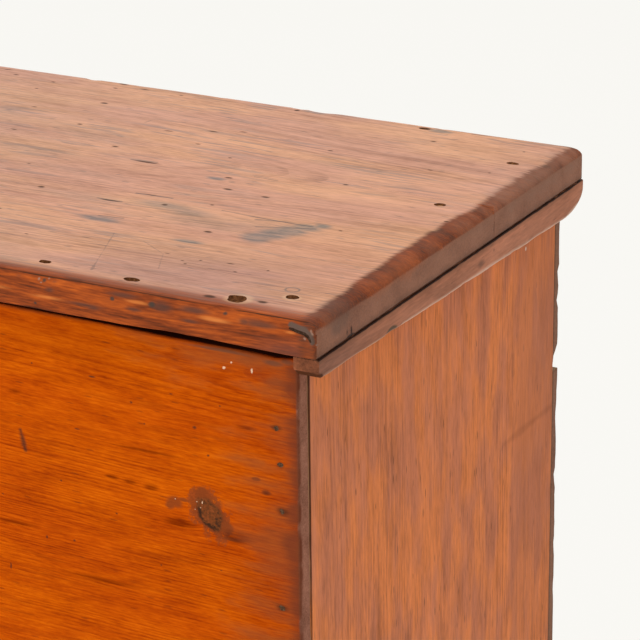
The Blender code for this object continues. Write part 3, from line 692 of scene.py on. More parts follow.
def cupMesh(bm, centre, along, across, depth, seeded, ragged, floorSlot, steps=16):
    # an irregular hole to be cut out from above, its mouth standing a little proud of the wood
    first, second, up = Vector((1, 0, 0)), Vector((0, 1, 0)), Vector((0, 0, 1))
    shape = [1 + seeded.uniform(-ragged, ragged) for _ in range(steps)]
    shape = [(shape[i] * 2 + shape[i - 1] + shape[(i + 1) % steps]) / 4 for i in range(steps)]
    rings = []
    for share, drop in ((1.06, 0.002), (1.0, 0.0), (0.86, -0.55 * depth), (0.5, -depth)):
        ring = []
        for part, (cos, sin) in zip(shape, circle(steps)):
            reach = part * share * (1 + seeded.uniform(-0.05, 0.05))
            ring.append(bm.verts.new(centre + first * along * reach * cos + second * across * reach * sin
                                     + up * drop))
        rings.append(ring)
    faces = [bm.faces.new(rings[0]), bm.faces.new(list(reversed(rings[-1])))] + skinRings(bm, rings)
    for face in faces:
        face.material_index = 1
    faces[1].material_index = floorSlot


def grooveMesh(bm, path, radii, slot, steps=8):
    # a gouge along a path, to be cut out
    rings = []
    for i, (point, radius) in enumerate(zip(path, radii)):
        ahead = (path[min(i + 1, len(path) - 1)] - path[max(i - 1, 0)]).normalized()
        side = ahead.orthogonal().normalized()
        other = ahead.cross(side)
        rings.append([bm.verts.new(point + radius * (side * cos + other * sin)) for cos,
                      sin in circle(steps)])
    faces = [bm.faces.new(list(reversed(rings[0]))), bm.faces.new(rings[-1])]
    for near, far in zip(rings, rings[1:]):
        def gap(turn):
            return sum((near[n].co - far[(n + turn) % steps].co).length for n in range(steps))

        twist = min(range(steps), key=gap)
        for n in range(steps):
            m = n + 1
            faces.append(bm.faces.new((near[n], near[m % steps], far[(m + twist) % steps],
                                       far[(n + twist) % steps])))
    for face in faces:
        face.material_index = slot


carvedFinishes = (holeFinish, plugFinish, dentFinish)  # slots 1 to 3: the insides of holes and dents


def carve(piece, bm):
    tool = pieceFrom(bm, "carving")
    for item in (piece, tool):  # slot 0 gets the board's own finish later
        for inside in (plugFinish, *carvedFinishes):
            item.data.materials.append(inside)
    cut = piece.modifiers.new("carving", "BOOLEAN")
    cut.operation = "DIFFERENCE"
    cut.solver = "EXACT"
    cut.material_mode = "INDEX"
    cut.object = tool
    bakeModifiers(piece)
    bpy.data.objects.remove(tool)


def finishPiece(piece, body, materials, replaced=None):
    for index, item in enumerate(materials):  # clearing the slots would also clear each face's slot number
        if index < len(piece.data.materials):
            piece.data.materials[index] = item
        else:
            piece.data.materials.append(item)
    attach(piece, body)
    if replaced:
        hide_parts(replaced)


# lid: two boards, worn paler on top, darker and redder on the front edge

lidMarks = {  # millimetres: x and y from the case corner, then half lengths along and across the grain
    "stains": [
        (-194, 230, 12, 4.5), (-222, 112, 24, 8), (-99, 125, 17, 15), (-92, 136, 18, 16), (-86, 148, 17, 15),
        (-79, 160, 15, 12), (-70, 168, 11, 8), (-139, 96.5, 18, 5), (-96, 413, 13, 5), (-210, 416, 14, 2.4),
    ],
    "faintStains": [
        (-54, 274, 22, 9), (-13, 344, 8, 6), (-352, 233, 60, 13), (-338, 284, 70, 16), (-186, 157, 28, 10),
        (-150, 140, 60, 14), (-260, 150, 60, 14), (-300, 200, 80, 10), (-120, 300, 50, 10),
        (-100, 150, 45, 22),
    ],
    "greys": [(-192, 158, 34, 12), (-170, 152, 26, 11)],
    "softGrey": [(-140, 138, 55, 22)],
    "mauve": [(-490, 200, 240, 300), (-330, 30, 180, 100), (-100, 45, 150, 80)],
    "rose": [(-60, 70, 130, 110)],
    "flecks": [
        (-375, 364, 4, 2.2), (-366, 412, 7, 1.8), (-390, 418, 5, 1.6), (-361, 305, 3, 2),
        (-304, 266, 4, 2.2),
        (-446, 398, 3, 1.8), (-448, 376, 3, 1.8), (-486, 403, 4, 1.8), (-300, 156, 3, 2.2),
        (-261, 242, 12, 1.8),
        (-217, 175, 11, 1.6), (-237, 151, 9, 1.4), (-288, 320, 5, 1.2), (-256, 334, 5, 1.2),
        (-234, 343, 5, 1.5),
        (-173, 212, 5, 2.2), (-139, 208, 4.5, 2.1), (-165, 175, 3, 2.2), (-196, 160, 3, 2.2),
        (-186, 236, 3.5, 1.6),
        (-137, 121, 4, 2), (-225, 414, 3, 3), (-111, 415, 6.5, 2.6), (-390, 405, 3, 1.6),
        (-330, 410, 3, 1.4),
        (-250, 300, 3, 1.4), (-210, 280, 2.4, 1.4), (-150, 330, 3, 1.3), (-100, 260, 2.4, 1.2),
        (-60, 320, 3, 1.2),
        (-420, 330, 4, 1.6), (-400, 270, 4, 1.4), (-340, 200, 3.5, 1.4), (-300, 100, 3, 1.3),
        (-250, 60, 2.4, 1.2),
        (-90, 387, 4, 2.4), (-16, 393, 2, 1.8), (4, 216, 2.4, 1.4), (-17, 333, 2, 1.5), (-54, 165, 2, 1.2),
        (-111, 66, 1.8, 1.3), (-78, 56, 2.2, 1.2), (-59, 68, 1.3, 1.3), (-117, 55, 2, 1.4),
        (-122, 60, 2.2, 1),
        (-139, 68, 3.5, 1), (-89, 69, 4.5, 1.1), (-69, 6, 5, 2.4), (-32, 12, 4.5, 2.4),
    ],
    "rims": [(-19, 29, 7, 6.2), (-49, 10, 11, 9.5)],
    "ring": [(-26, 42, 6.6, 5.4)],
}
lidLines = {  # start, stop and width
    "cuts": [
        ((-229, 174.4), (-199, 175.6), 1.9), ((-170, 246.7), (-150, 245.8), 0.9),
        ((-152, 167.3), (-128, 165.3), 1.1),
        ((-128, 165.3), (-98, 163.7), 1.3), ((-98, 163.7), (-76, 163.7), 1.3),
    ],
    "dark": [
        ((-228, 174), (-199, 175), 1.6), ((-248, 152), (-228, 152), 1.2), ((-226, 118), (-207, 120), 1.3),
        ((-275, 243), (-254, 245), 1.2), ((-120, 160), (-70, 172), 1.4), ((-112, 146), (-72, 160), 1.2),
    ],
    "scratches": [
        ((-195, 89), (-168, 16), 0.8), ((-167, 83), (-141, 66), 0.8), ((-141, 66), (-128, 38), 0.8),
        ((-317, 331), (-314, 344), 0.7), ((-2, 46), (8, 49), 1.3), ((-105, 409.3), (-88, 407.6), 1.0),
        ((-104, 418), (-93.5, 416), 1.0), ((-71, 417), (-59, 418), 1.0), ((-126, 415.5), (-120, 416.8), 1.0),
    ],
    # x only, along the front
    "rub": [(-1030, -560, 1.2), (-600, -330, 1.3), (-360, -150, 1.4), (-170, 12, 1.3)],
}
lidHoles = [  # x, y, half along, half across, depth, raggedness, slot of the floor
    (-11.5, 362.4, 5.0, 3.2, 1.2, 0.1, 2), (-16.8, 248.6, 4.4, 3.6, 0.9, 0.1, 2),
    (-19.2, 29, 5.0, 4.2, 2.2, 0.16, 1),
    (-50, 11, 7.8, 6.6, 2.6, 0.34, 1), (-133, 11.3, 5.6, 3.6, 2.4, 0.25, 1),
    (-205.5, 15.6, 4.8, 3.2, 2.2, 0.22, 1),
    (-111.5, 413.6, 4.4, 1.8, 1.4, 0.25, 1),
]
lidHoles += [(-caseWidth - x, y + 6, *rest) for x, y, *rest in lidHoles[:3]]  # the far end has them as well
lidHoles += [(-420, 14, 5, 4, 2.4, 0.2, 1), (-640, 12, 5, 4, 2.4, 0.2, 1)]
lidChips = {  # x, y, z, radius and depth
    "lid_front_board": [(20, -11.5, 11, 4, 1.8), (-50, -9, 24, 6, 1.2)],
    "lid_rear_board": [
        (-225, 423.6, 25, 6, 2.0), (-98, 423.6, 25, 6, 0.5), (-300, 423.6, 25, 5, 1.0),
        (-205, 423.6, 25, 14, 0.9),
        (-420, 423.6, 25, 7, 1.2), (-700, 423.6, 25, 9, 1.6),
    ],
}
edgeMarks = {  # x, then height above the underside
    "smudges": [
        (-97, 18.3, 12, 5.6), (-128, 21.5, 17, 2.6), (-160, 10, 26, 2.6), (-33, 18.4, 6, 2.6),
        (-185, 16.5, 7, 3.4),
        (-151, 9, 9, 2.6), (-182, 22, 4, 1.6), (-211, 22, 5, 1.8), (-118, 13, 9, 2.4), (-75, 12, 10, 2),
        (-21, 18.6, 20, 3.6), (-72, 20, 15, 2.8),
    ],
    "spots": [(-190, 22, 2.6, 2.0), (-135, 18, 2.6, 2.0), (-48.4, 21.3, 2.6, 1.5), (-197, 5, 1.6, 1.2),
              (-104, 19, 4, 2.5)],
    "pale": [
        (-56, 16.2, 15, 2.1), (1.5, 16.6, 7, 1.8), (-115, 18.6, 12, 1.6), (-187, 10.5, 26, 2.4),
        (-230, 12, 25, 2.6),
        (-300, 10, 40, 2.5),
    ],
    "chips": [
        (19.6, 10.3, 0.9, 0.9), (12, 14.2, 1.3, 1.5), (-194.5, 22.2, 1.6, 1.4), (-187, 23.2, 1.4, 0.8),
        (-192, 20.4, 1.2, 0.7),
    ],
    "bruise": [(1.2, 22.0), (6, 21.0), (12.5, 19.6), (15.6, 17.4), (17.2, 14.2), (17.6, 12.4)],
    "split": [(16.6, 20.4), (19.2, 15.6)],
    "gouge": [  # x, height, radius
        (0.3, 19.6, 0.7), (3, 19.2, 1.1), (6, 18.4, 1.2), (9.5, 17.9, 1.2), (12, 17.4, 1.3), (14, 16.2, 1.3),
        (15.4, 13.9, 1.2), (16.4, 11.9, 0.8),
    ],
}
lidSeeded = random.Random(11)
# the half of the lid that the photograph doesn't reach: counts, then ranges of x, y and half lengths
farMarks = {
    "flecks": (46, (-1020, -500), (0, 415), (1.5, 9), (1, 2.2)),
    "stains": (7, (-980, -540), (30, 390), (10, 26), (4, 9)),
}
for key, (count, *ranges) in farMarks.items():
    lidMarks[key] += [tuple(lidSeeded.uniform(*ends) for ends in ranges) for _ in range(count)]

lidColours = {
    "palette": shades((0.56, 0.24, 0.113), (0.0, 1.36), (0.35, 1.0), (0.65, 0.68), (1.0, 0.28)),
    "hues": [(0.0, (0.88, 0.84, 0.98)), (1.0, (1.0, 1.0, 0.93))],
    "level": 0.31, "late": 0.2, "streak": 0.34, "fibre": 1.05, "tone": 0.42,
    "streakRun": (1.4, 50.0, 50.0), "fibreRun": (16.0, 480.0, 480.0), "toneRun": (13.0, 48.0, 48.0),
    "hueRun": (6.0, 22.0, 22.0), "fleck": 0.7,
    "dash": 0.6, "dashRun": (18.0, 300.0, 300.0), "dashColour": (0.19, 0.11, 0.085),
    "endPalette": [
        (0.0, (0.33, 0.076, 0.018)), (0.4, (0.2, 0.046, 0.015)), (0.7, (0.135, 0.038, 0.017)),
        (1.0, (0.075, 0.031, 0.019)),
    ],
    "flatPalette": [(0.0, (0.39, 0.172, 0.1)), (0.5, (0.282, 0.12, 0.07)), (1.0, (0.14, 0.058, 0.036))],
    "frontPalette": [
        (0.0, (0.6, 0.14, 0.018)), (0.35, (0.38, 0.076, 0.012)), (0.65, (0.22, 0.043, 0.01)),
        (1.0, (0.06, 0.018, 0.008)),
    ],
    "pith": (0.05, 0.055, -0.115), "ringWidth": 0.0046, "wander": 0.05, "seedName": "lidPine",
    "dirt": 0.0, "rough": 0.45, "roughSpread": 0.2, "specular": 0.05, "coat": 0.75,
}


def onLid(key, low, high, wide=False):
    # marks of one kind, kept to the board that carries them unless they are wide
    found = [patchFrom((x, y, topZ), (along, across, 60.0 if wide else 6.0)) for x, y, along,
             across in lidMarks[key]]
    return [item for item in found if wide or low.y - 0.004 < item[0].y < high.y + 0.004]


def onLidEdge(key):
    return [patchFrom((x, -11.5, underZ + z), (along, 6.0, up)) for x, z, along, up in edgeMarks[key]]


def onLidEnd(*places):
    return [patchFrom((15, y, 21), (16.0, along, up)) for y, along, up in places]


def edgeSkin(x, z):  # a point on the round of the front edge, z above the underside
    rise = max(0.0, z - 17.0)
    return fromCorner(x, -3.5 - math.sqrt(64.0 - rise * rise), underZ + z)


def lidTopMarks(low, high):
    right = lidEnds[0]
    marks = [
        wash(onLid("mauve", low, high, True), (0.8, 0.85, 0.97), 0.85, ragged=0.8),
        wash(onLid("rose", low, high, True), (0.92, 0.86, 0.88), 0.8, ragged=0.8),
        wash(onLid("faintStains", low, high), (0.62, 0.66, 0.72), 0.5, blotch=1.2, figure=True),
        wash(onLid("greys", low, high), (0.56, 0.68, 0.82), 1.0, 0.9, ragged=0.8, blotch=0.6, figure=True),
        wash(onLid("softGrey", low, high), (0.84, 0.89, 0.97), 1.0, ragged=1.0, figure=True),
        wash(onLid("stains", low, high), (0.31, 0.5, 0.8), 0.95, 0.7, ragged=1.0, blotch=0.6, figure=True),
        mark(onLid("flecks", low, high), (0.06, 0.03, 0.02), 0.9, 0.75, ragged=2.0, sink=1.5, rough=0.2,
             dull=0.85),
        mark(onLidEnd((30, 32, 16)), (0.085, 0.054, 0.042), 0.55, 0.9, blotch=2.0),
        mark(onLidEnd((112, 45, 9)), (0.36, 0.1, 0.036), 0.5, 0.9, blotch=2.0),
        mark(onLidEnd((216, 24, 8), (165, 14, 7)), (0.14, 0.07, 0.046), 0.3, 0.9, blotch=2.0),
        mark(onLidEnd((345, 130, 14)), (0.25, 0.125, 0.082), 0.65, 0.9, blotch=1.2),
    ]
    for z, width, colour, amount, ragged in ((0, 7.0, (0.1, 0.042, 0.022), 0.5, 1.0),
                                             (0.3, 1.3, (0.022, 0.005, 0.001), 4.0, 0.8)):
        shadow = [lineFrom((x, lidRun[0], z), (x, lidRun[1], z), width) for x in lidEnds]
        marks.append(score(shadow, colour, amount, ragged))
    crack = lineFrom((right, 262, underZ + 1), (right, 262.6, underZ + 13), 0.8)
    marks.append(score([crack], (0.05, 0.02, 0.012), 0.8, 3.0))
    cuts, dark, scratches = [[lineFrom((*a, topZ), (*b, topZ), w) for a, b, w in lidLines[key]
                              if low.y < fromCorner(0, a[1], 0).y < high.y]
                              for key in ("cuts", "dark", "scratches")]
    marks.append(score(cuts, (0.085, 0.06, 0.05), 0.9, 1.0, dull=0.6))
    marks.append(score(dark, (0.1, 0.072, 0.06), 0.65, 3.4, dull=0.4))
    marks.append(score(scratches, (0.15, 0.1, 0.08), 0.5, 4.0, sink=0.8, dull=0.4))
    return marks


def lidFrontMarks(low, high):
    bruise, split = [[edgeSkin(x, z) for x, z in edgeMarks[key]] for key in ("bruise", "split")]
    knock = [patchFrom((20, y, underZ + z), (4, along, up))
             for y, z, along, up in ((39, 4, 1.4, 4.2), (33, 5, 0.7, 2.6), (38, 1, 7, 1.6))]
    rub = [lineFrom((a, -6.9, underZ + 24.2), (b, -6.9, underZ + 24.2), w) for a, b, w in lidLines["rub"]]
    return [
        mark(onLid("ring", low, high), (0.16, 0.085, 0.055), 1.0, 0.3, hollow=0.76, ragged=0.5),
        # pale rims round two nail holes: raw wood, and a painted highlight on the lip
        mark(onLid("rims", low, high), (0.62, 0.36, 0.19), 0.5, 0.4),
        wash([patchFrom((-508, -1, topZ), (1200, 12, 5))], (0.78, 0.7, 0.7), 0.75, 0.8, dull=0.5),
        score(rub, (0.06, 0.018, 0.008), 1.3, 2.6),
        mark(knock, (0.03, 0.01, 0.006), 0.95),
        mark(onLidEdge("pale"), (0.64, 0.2, 0.045), 0.7, 0.9, ragged=1.6, blotch=1.6, figure=True),
        mark(onLidEdge("smudges"), (0.075, 0.036, 0.026), 0.75, 0.9, ragged=1.4, blotch=1.4),
        mark(onLidEdge("spots"), (0.05, 0.038, 0.03), 0.9, 0.6, ragged=1.5),
        score([(a, b, 3.0 * mm) for a, b in zip(bruise, bruise[1:])], (0.105, 0.064, 0.048), 2.0, 1.2),
        mark(onLidEdge("chips"), (0.27, 0.155, 0.11), 0.95, 0.6, lines=[(*split, 1.1 * mm)], ragged=1.6),
    ]


lidWear = {  # millimetres
    # x, rise
    "frontLift": ((-400, 0.3), (-130, 0.3), (-90, 1.2), (-65, 1.2), (-50, 0.6), (-15, 0.0), (20, 0.0)),
    "endRound": ((-12, 8.5), (15, 9.2), (46, 12.0), (80, 14.0), (110, 15.5), (250, 15.5), (310, 18.0),
                 (424, 18.5)),
    # y and depth of the round; endRound is its reach
    "endDrop": ((-12, 7.8), (60, 7.6), (150, 6.7), (424, 6.4)),
    "arris": 11, "reachEnd": 40, "dropEnd": 24, "frontRound": 8, "rearRound": 5, "angle": 38,
}


def alongTable(value, table):
    return np.interp(value, *zip(*table))


def shapeLid(spot):
    # the front edge has curled up a little, and the ends are worn to a long low round
    x, y = (spot.x - corner.x) / mm, (spot.y - corner.y) / mm
    hollow = max(0.0, 1 - (spot.z - lidUnder) / 0.014)
    move = Vector((0, 0, alongTable(x, lidWear["frontLift"]) * max(0.0, 1 - (y + 12) / 40) * hollow))
    out, side = min((lidEnds[0] - x, 1), (x - lidEnds[1], -1))
    down = (lidTop - spot.z) / mm
    arris, reachEnd, dropEnd = (lidWear[key] for key in ("arris", "reachEnd", "dropEnd"))
    if out < reachEnd and down < dropEnd:
        reach, drop = alongTable(y, lidWear["endRound"]), alongTable(y, lidWear["endDrop"])
        if down < arris + 0.2:
            move.x -= side * (np.interp(out, (0, arris, reachEnd), (0, reach, reachEnd)) - out)
        if out < arris + 0.2:
            move.z -= np.interp(down, (0, arris, dropEnd), (0, drop, dropEnd)) - down
    return move * mm


def makeLidBoard(node, isFront):
    low, high = boxOf(node)
    seam = (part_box("lid_front_board")[1][1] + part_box("lid_rear_board")[0][1]) / 2
    (high if isFront else low).y = seam  # the joint has closed tight
    outer, inner = ("y-", "y+") if isFront else ("y+", "y-")
    edgeRound = lidWear["frontRound" if isFront else "rearRound"] * mm
    rounds = {pair(outer, "z+"): edgeRound, pair(inner, "z+"): 0.00005, pair(inner, "z-"): 0.0002}
    for side in ("x+", "x-"):
        rounds.update({pair(side, "z+"): lidWear["arris"] * mm, pair(side, outer): 0.003,
                       pair(side, inner): 0.0003})
    piece = gridBoard(node + "_worn", low, high, (0.005, 0.007, 0.02), rounds, 0.0012, 5)
    chips = [(fromCorner(x, y, z), r * mm, d * mm) for x, y, z, r, d in lidChips[node]]
    wearBoard(piece, low, high,
              {"seed": (3.1, 7.7, 1.3), "waves": 0.0004, "rub": 0.0005, "waveRun": (2.5, 20, 20),
                                 "bend": shapeLid, "keep": (inner,), "chips": chips})
    seeded = random.Random(node)
    tools = bmesh.new()
    count = 0
    for x, y, along, across, depth, ragged, floorSlot in lidHoles:
        spot = fromCorner(x, y, topZ - 0.3)
        if low.y < spot.y < high.y:
            if y > 410:
                spot.z -= 0.0012  # the rear edge falls away there
            cupMesh(tools, spot, along * mm, across * mm, depth * mm, seeded, ragged, floorSlot)
            count += 1
    if isFront:
        points = [edgeSkin(x, z) for x, z, r in edgeMarks["gouge"]]
        grooveMesh(tools, points, [r * mm for x, z, r in edgeMarks["gouge"]], 3)
    carve(piece, tools)
    smooth(piece.data, lidWear["angle"])
    marks = lidTopMarks(low, high) + (lidFrontMarks(low, high) if isFront else [])
    marks = [item for item in marks if item["places"] or item.get("lines")]
    name = "lidPineFront" if isFront else "lidPineRear"
    finish = pineFinish(name, *lidBox, **lidColours, marks=marks)  # one figure runs over both boards
    finishPiece(piece, "lid", [finish, *carvedFinishes], node)
    return count


holeCount = makeLidBoard("lid_front_board", True) + makeLidBoard("lid_rear_board", False)
print("stage: lid boards worn, with", holeCount, "nail holes")


# cleats: tapered strips under the lid ends, rubbed along the lower outer arris, with a painted highlight
# along that arris and painted shadow under the lid

cleatShape = {
    "frontHeight": 14.75, "rearHeight": 24.2, "noseLength": 36.0, "noseHeight": 14.0, "outerRound": 2.4,
    "innerRound": 1.0, "chamfer": 4.5, "pitch": 4.0, "angle": 40,
    "chips": {1: [(105, 9.0, 1.6), (222, 4.0, 1.2), (307, 5.0, 1.0)], -1: [(60, 6.0, 2.2), (250, 8.0, 2.6)]},
}
cleatColours = {
    "grain": "Y", "face": "X", "pith": (0.01, 0.0, -0.06), "ringWidth": 0.004,
    "palette": shades((0.425, 0.163, 0.089), (0.0, 1.4), (0.4, 1.0), (0.7, 0.7), (1.0, 0.3)),
    "level": 0.4, "late": 0.15, "streak": 0.8, "fibre": 0.8, "tone": 1.3, "fleck": 0.3, "dirt": 0.0,
    "streakRun": (5.0, 90.0, 90.0), "toneRun": (12.0, 40.0, 40.0), "fibreRun": (20.0, 400.0, 400.0),
    "dash": 0.25, "dashRun": (25.0, 240.0, 240.0),
    "endPalette": [(0.0, (0.36, 0.11, 0.045)), (1.0, (0.14, 0.045, 0.02))], "rough": 0.45, "specular": 0.05,
}


def cleatDepth(run, length):  # height of the strip at a distance from its front
    nose = length - cleatShape["noseLength"]
    slope = (cleatShape["rearHeight"] - cleatShape["frontHeight"]) / length
    depth = cleatShape["frontHeight"] + slope * min(run, nose)
    if run > nose:
        share = min(1.0, (run - nose) / cleatShape["noseLength"])
        depth -= cleatShape["noseHeight"] * (1 - math.sqrt(max(0.0, 1 - share * share)))
    return depth - max(0.0, cleatShape["chamfer"] - run)


def cleatOutline(run, depth, width, sign):  # distance out from the inner face, then height
    outer, inner = cleatShape["outerRound"], cleatShape["innerRound"]
    outer *= 1 + 0.5 * noise.noise(Vector((run * 0.03, 4.0 * sign, 1.0))) + 0.25 * noise.noise(
        Vector((run * 0.16, 4.0 * sign, 7.0)))
    for place, radius, bite in cleatShape["chips"][sign]:
        outer += bite * max(0.0, 1 - ((run - place) / radius) ** 2)
    bottom = -depth + 0.15 * noise.noise(Vector((run * 0.05, 2.0, sign)))
    points = [(0.3, 0.0), (width * 0.5, 0.0), (width - 3.0, 0.0), (width - 1.0, -0.5), (width - 0.2, -1.0)]
    points += [(width, -1.5), (width, -0.5 * depth)]
    points += [(width - outer + outer * math.cos(a), bottom + outer - outer * math.sin(a))
               for a in angles(0, 91, 15)]
    points += [(width * 0.5, bottom)]
    points += [(inner - inner * math.sin(a), bottom + inner - inner * math.cos(a))
               for a in angles(0, 91, 30)]
    return points + [(0.0, -0.5 * depth), (0.0, -0.3)]


def cleatMarks():
    outside = lidEnds[0]
    arris = outside - 0.5
    specks = [patchFrom((outside, y, z), (4, along, up))
              for y, z, along, up in ((192, -11, 1.6, 1.2), (262, -8, 1.5, 1.5), (240, -12, 8, 4))]
    # pale lines along the lower outer arris: worn wood with a painted highlight
    rubbedAndLit = [lineFrom((arris, 115, -17.0), (arris, 388, -23.4), 3.8),
              lineFrom((arris, 388, -23.4), (arris, 412, -18), 2.6)]
    top = ((outside, lidRun[0], 0), (outside, lidRun[1], 0))
    return [
        wash([patchFrom((outside, 0, -8), (30, 110, 30))], (0.55, 0.6, 0.68), 0.8),
        mark([patchFrom((outside - 2, 98, -16.0), (10, 11, 5.0))], (0.1, 0.06, 0.033), 0.95, 0.3,
             ragged=0.8),
        mark(specks, (0.05, 0.025, 0.018), 0.5, 0.8),
        # painted shade on the lower front chamfer of the cleat
        mark([patchFrom((10, -4.5, -13.5), (30, 4.5, 4.0))], (0.07, 0.022, 0.008), 0.95, 0.3),
        # painted shadow under the lid's front edge, across the top of the cleat's front end
        score([lineFrom((-2, -7, 0), (20, -7, 0), 2.2)], (0.02, 0.008, 0.004), 2.0, 0.5),
        # the pale arris lines: wear and a painted highlight
        score([lineFrom((arris, 0, -14.2), (arris, 120, -17.2), 2.8)], (0.6, 0.34, 0.22), 0.7, 2.0),
        score(rubbedAndLit, (0.74, 0.48, 0.36), 0.85, 1.2),
        # painted shadow where the lid sits on the cleat: a soft band and a crisp dark line
        score([lineFrom(*top, 6.0)], (0.12, 0.05, 0.026), 0.5, 0.6),
        score([lineFrom(*top, 1.9)], (0.022, 0.005, 0.001), 4.0, 0.6),
    ]


def makeCleat(node, sign):
    low, high = boxOf(node)
    length, width = (high.y - low.y) / mm, (high.x - low.x) / mm
    innerX = low.x if sign > 0 else high.x
    stations = [0.0, 0.5, 1.2, 2.2, 3.4, 4.6] + list(np.arange(7.0, length - 38, cleatShape["pitch"]))
    stations += [length - 36 + 36 * math.sin(a) for a in angles(0, 90, 9)] + [length - 0.25, length]
    bm = bmesh.new()
    rings = []
    for run in stations:
        outline = cleatOutline(run, cleatDepth(run, length), width, sign)
        rings.append([bm.verts.new((innerX + sign * a * mm, low.y + run * mm, high.z + b * mm)) for a,
                      b in outline])
    bm.faces.new(rings[0])
    bm.faces.new(list(reversed(rings[-1])))
    skinRings(bm, rings)
    piece = pieceFrom(bm, node + "_worn", cleatShape["angle"])
    name = "cleatPine" + ("Right" if sign > 0 else "Left")
    finish = pineFinish(name, low, high, **cleatColours, marks=cleatMarks() if sign > 0 else [])
    finishPiece(piece, "lid", [finish], node)


makeCleat("cleat_right", 1)
makeCleat("cleat_left", -1)
print("stage: cleats shaped")


# front board: amber shellac, knots, nails and knocks

frontMarks = {  # x and height from the case corner, half lengths along and up
    "red": [
        (-75.4, -116, 7.5, 5.4), (-56.5, -139, 5, 6.5), (-97, -127.5, 8, 5.5), (-90.5, -124.8, 6, 2.2),
        (-101, -130.5, 5, 4), (-54, -147, 11, 2.4), (-25.5, -107, 6.4, 3.6), (-33, -98, 4, 1.6),
    ],
    "streaks": [
        (-148, -119, 7, 2.2), (-133, -120, 7, 2.2), (-116, -121, 9, 3), (-94, -143, 16, 4.5),
        (-48, -145, 15, 6),
        (-120, -94, 38, 1.8), (-225, -69, 12, 4), (-230, -170, 30, 3), (-160, -200, 40, 2.5),
        (-40, -62, 14, 3),
        (-25, -107, 6, 3.6),
    ],
    "dots": [
        (-161, -46.5, 4.5, 1.2), (-80, -69.4, 2.6, 1.8), (-204, -176, 1.3, 2.4), (-181, -174, 1.8, 1.2),
        (-236, -205, 0.9, 3.4), (-130, -60, 1.6, 1.2), (-145, -146, 1.4, 1), (-210, -45, 1.3, 1),
        (-60, -50, 1.5, 1.2),
        (-175, -88, 4, 1.1), (-120, -74, 1.2, 1.0), (-98, -48, 2.6, 1.0), (-190, -130, 1.3, 1.0),
        (-70, -88, 1.4, 1.1),
        (-240, -150, 2.2, 1.0), (-110, -178, 1.5, 1.2), (-62, -172, 2.0, 1.0),
    ],
    # pale specks: paint specks near the top, painted highlights on the knot
    "paintAndGlints": [
        (-56, -21.5, 1.7, 1.2), (-50.3, -16.8, 0.8, 0.8), (-34.6, -20.3, 1.1, 2.2), (-75.6, -124, 0.7, 1.7),
        (-81.4, -130, 0.7, 0.7), (-79.8, -124, 0.7, 0.7), (-77, -128, 0.6, 0.9), (-97, -125.3, 0.9, 0.9),
    ],
    "grey": [(-18, -12, 10, 2.4), (-8, -9, 8, 3), (-60, -9.5, 30, 1.6)],
    "duskyEnds": [(6, -180, 72, 420), (-1022, -180, 72, 420)],
    "duskyTop": [(-40, -2, 120, 44)],
    "handledEnds": [(0, -180, 14, 600), (-1016, -180, 14, 600)],
    "dimTop": [(-180, -20, 140, 40), (-400, -20, 160, 34)],
}
frontKnots = [  # x, height, half lengths, how far the rings bend
    (-69.4, -131.5, 10.6, 12.6, 0.006), (-620, -90, 12, 10, 0.006), (-840, -240, 9, 8, 0.004),
    (-480, -300, 8, 7, 0.004),
]
frontSlash = [((-222.3, -97.5), (-218.8, -112), 2.4), ((-221.4, -101), (-219.8, -108), 3.4)]
frontNails = [(-16.9, -58.2), (-14.2, -84), (-13.2, -118), (-14.5, -190), (-13.5, -262), (-15.5, -335)]
bothSides = frontNails + [(-caseWidth - x, z) for x, z in frontNails]
frontMarks["nailHalos"] = [(x, z, 6.5, 4.2) for x, z in bothSides]
topHollow = (  # x, how far the top edge has been planed below the board's highest part
    (-300, 0.0), (-230, 0.0), (-190, 0.4), (-152, 0.7), (-133, 1.1), (-114, 1.6), (-104, 1.9), (-48, 1.9),
    (-30, 2.3),
    (-12, 2.7), (-3, 1.1), (0, 1.0),
)
frontWear = {
    "seed": (5.5, 1.9, 8.2), "waves": 0.00035, "rub": 0.0006, "waveRun": (2.5, 18, 18),
    "endChips": ((-30, 5, 1.0), (-128, 5, 1.4), (-200, 7, 0.9), (-290, 6, 1.2)),  # height, radius, depth
    "topChips": ((-20, 9, 0.8), (-250, 9, 0.7), (-520, 14, 0.9), (-800, 10, 1.0)),  # x, radius, depth
}
amberPalette = [
    (0.0, (0.65, 0.132, 0.003)), (0.4, (0.455, 0.072, 0.0015)), (0.7, (0.29, 0.036, 0.0015)),
    (1.0, (0.12, 0.013, 0.001)),
]
frontColours = {
    "grain": "X", "face": "Y", "pith": (0.012, 0.17, 0.06), "ringWidth": 0.0022, "wander": 0.035,
    "palette": amberPalette, "hues": [(0.0, (0.92, 0.82, 1.0)), (1.0, (1.0, 1.0, 0.9))],
    "level": 0.35, "late": 0.2, "streak": 0.42, "fibre": 0.9, "tone": 0.8,
    "streakRun": (2.0, 60.0, 60.0), "fibreRun": (24.0, 620.0, 620.0), "toneRun": (22.0, 66.0, 66.0),
    "hueRun": (9.0, 28.0, 28.0), "fleck": 0.5, "fleckColour": (0.12, 0.02, 0.005),
    "dash": 0.3, "dashRun": (22.0, 400.0, 400.0), "dashColour": (0.2, 0.026, 0.002),
    "endPalette": [(0.0, (0.43, 0.19, 0.125)), (1.0, (0.19, 0.073, 0.045))],
    "dirtWidth": 0.003, "dirt": 0.3, "dirtColour": (0.14, 0.045, 0.018), "rough": 0.45, "specular": 0.0,
    "bump": 0.4,
}


def onFront(key):
    return [patchFrom((x, 0, z), (along, 5.0, up)) for x, z, along, up in frontMarks[key]]


def hollowTop(spot):
    share = min(1.0, max(0.0, 1 - (frontBox[1].z - spot.z) / 0.04))
    return Vector((0, 0, -alongTable((spot.x - corner.x) / mm, topHollow) * mm * share * share))


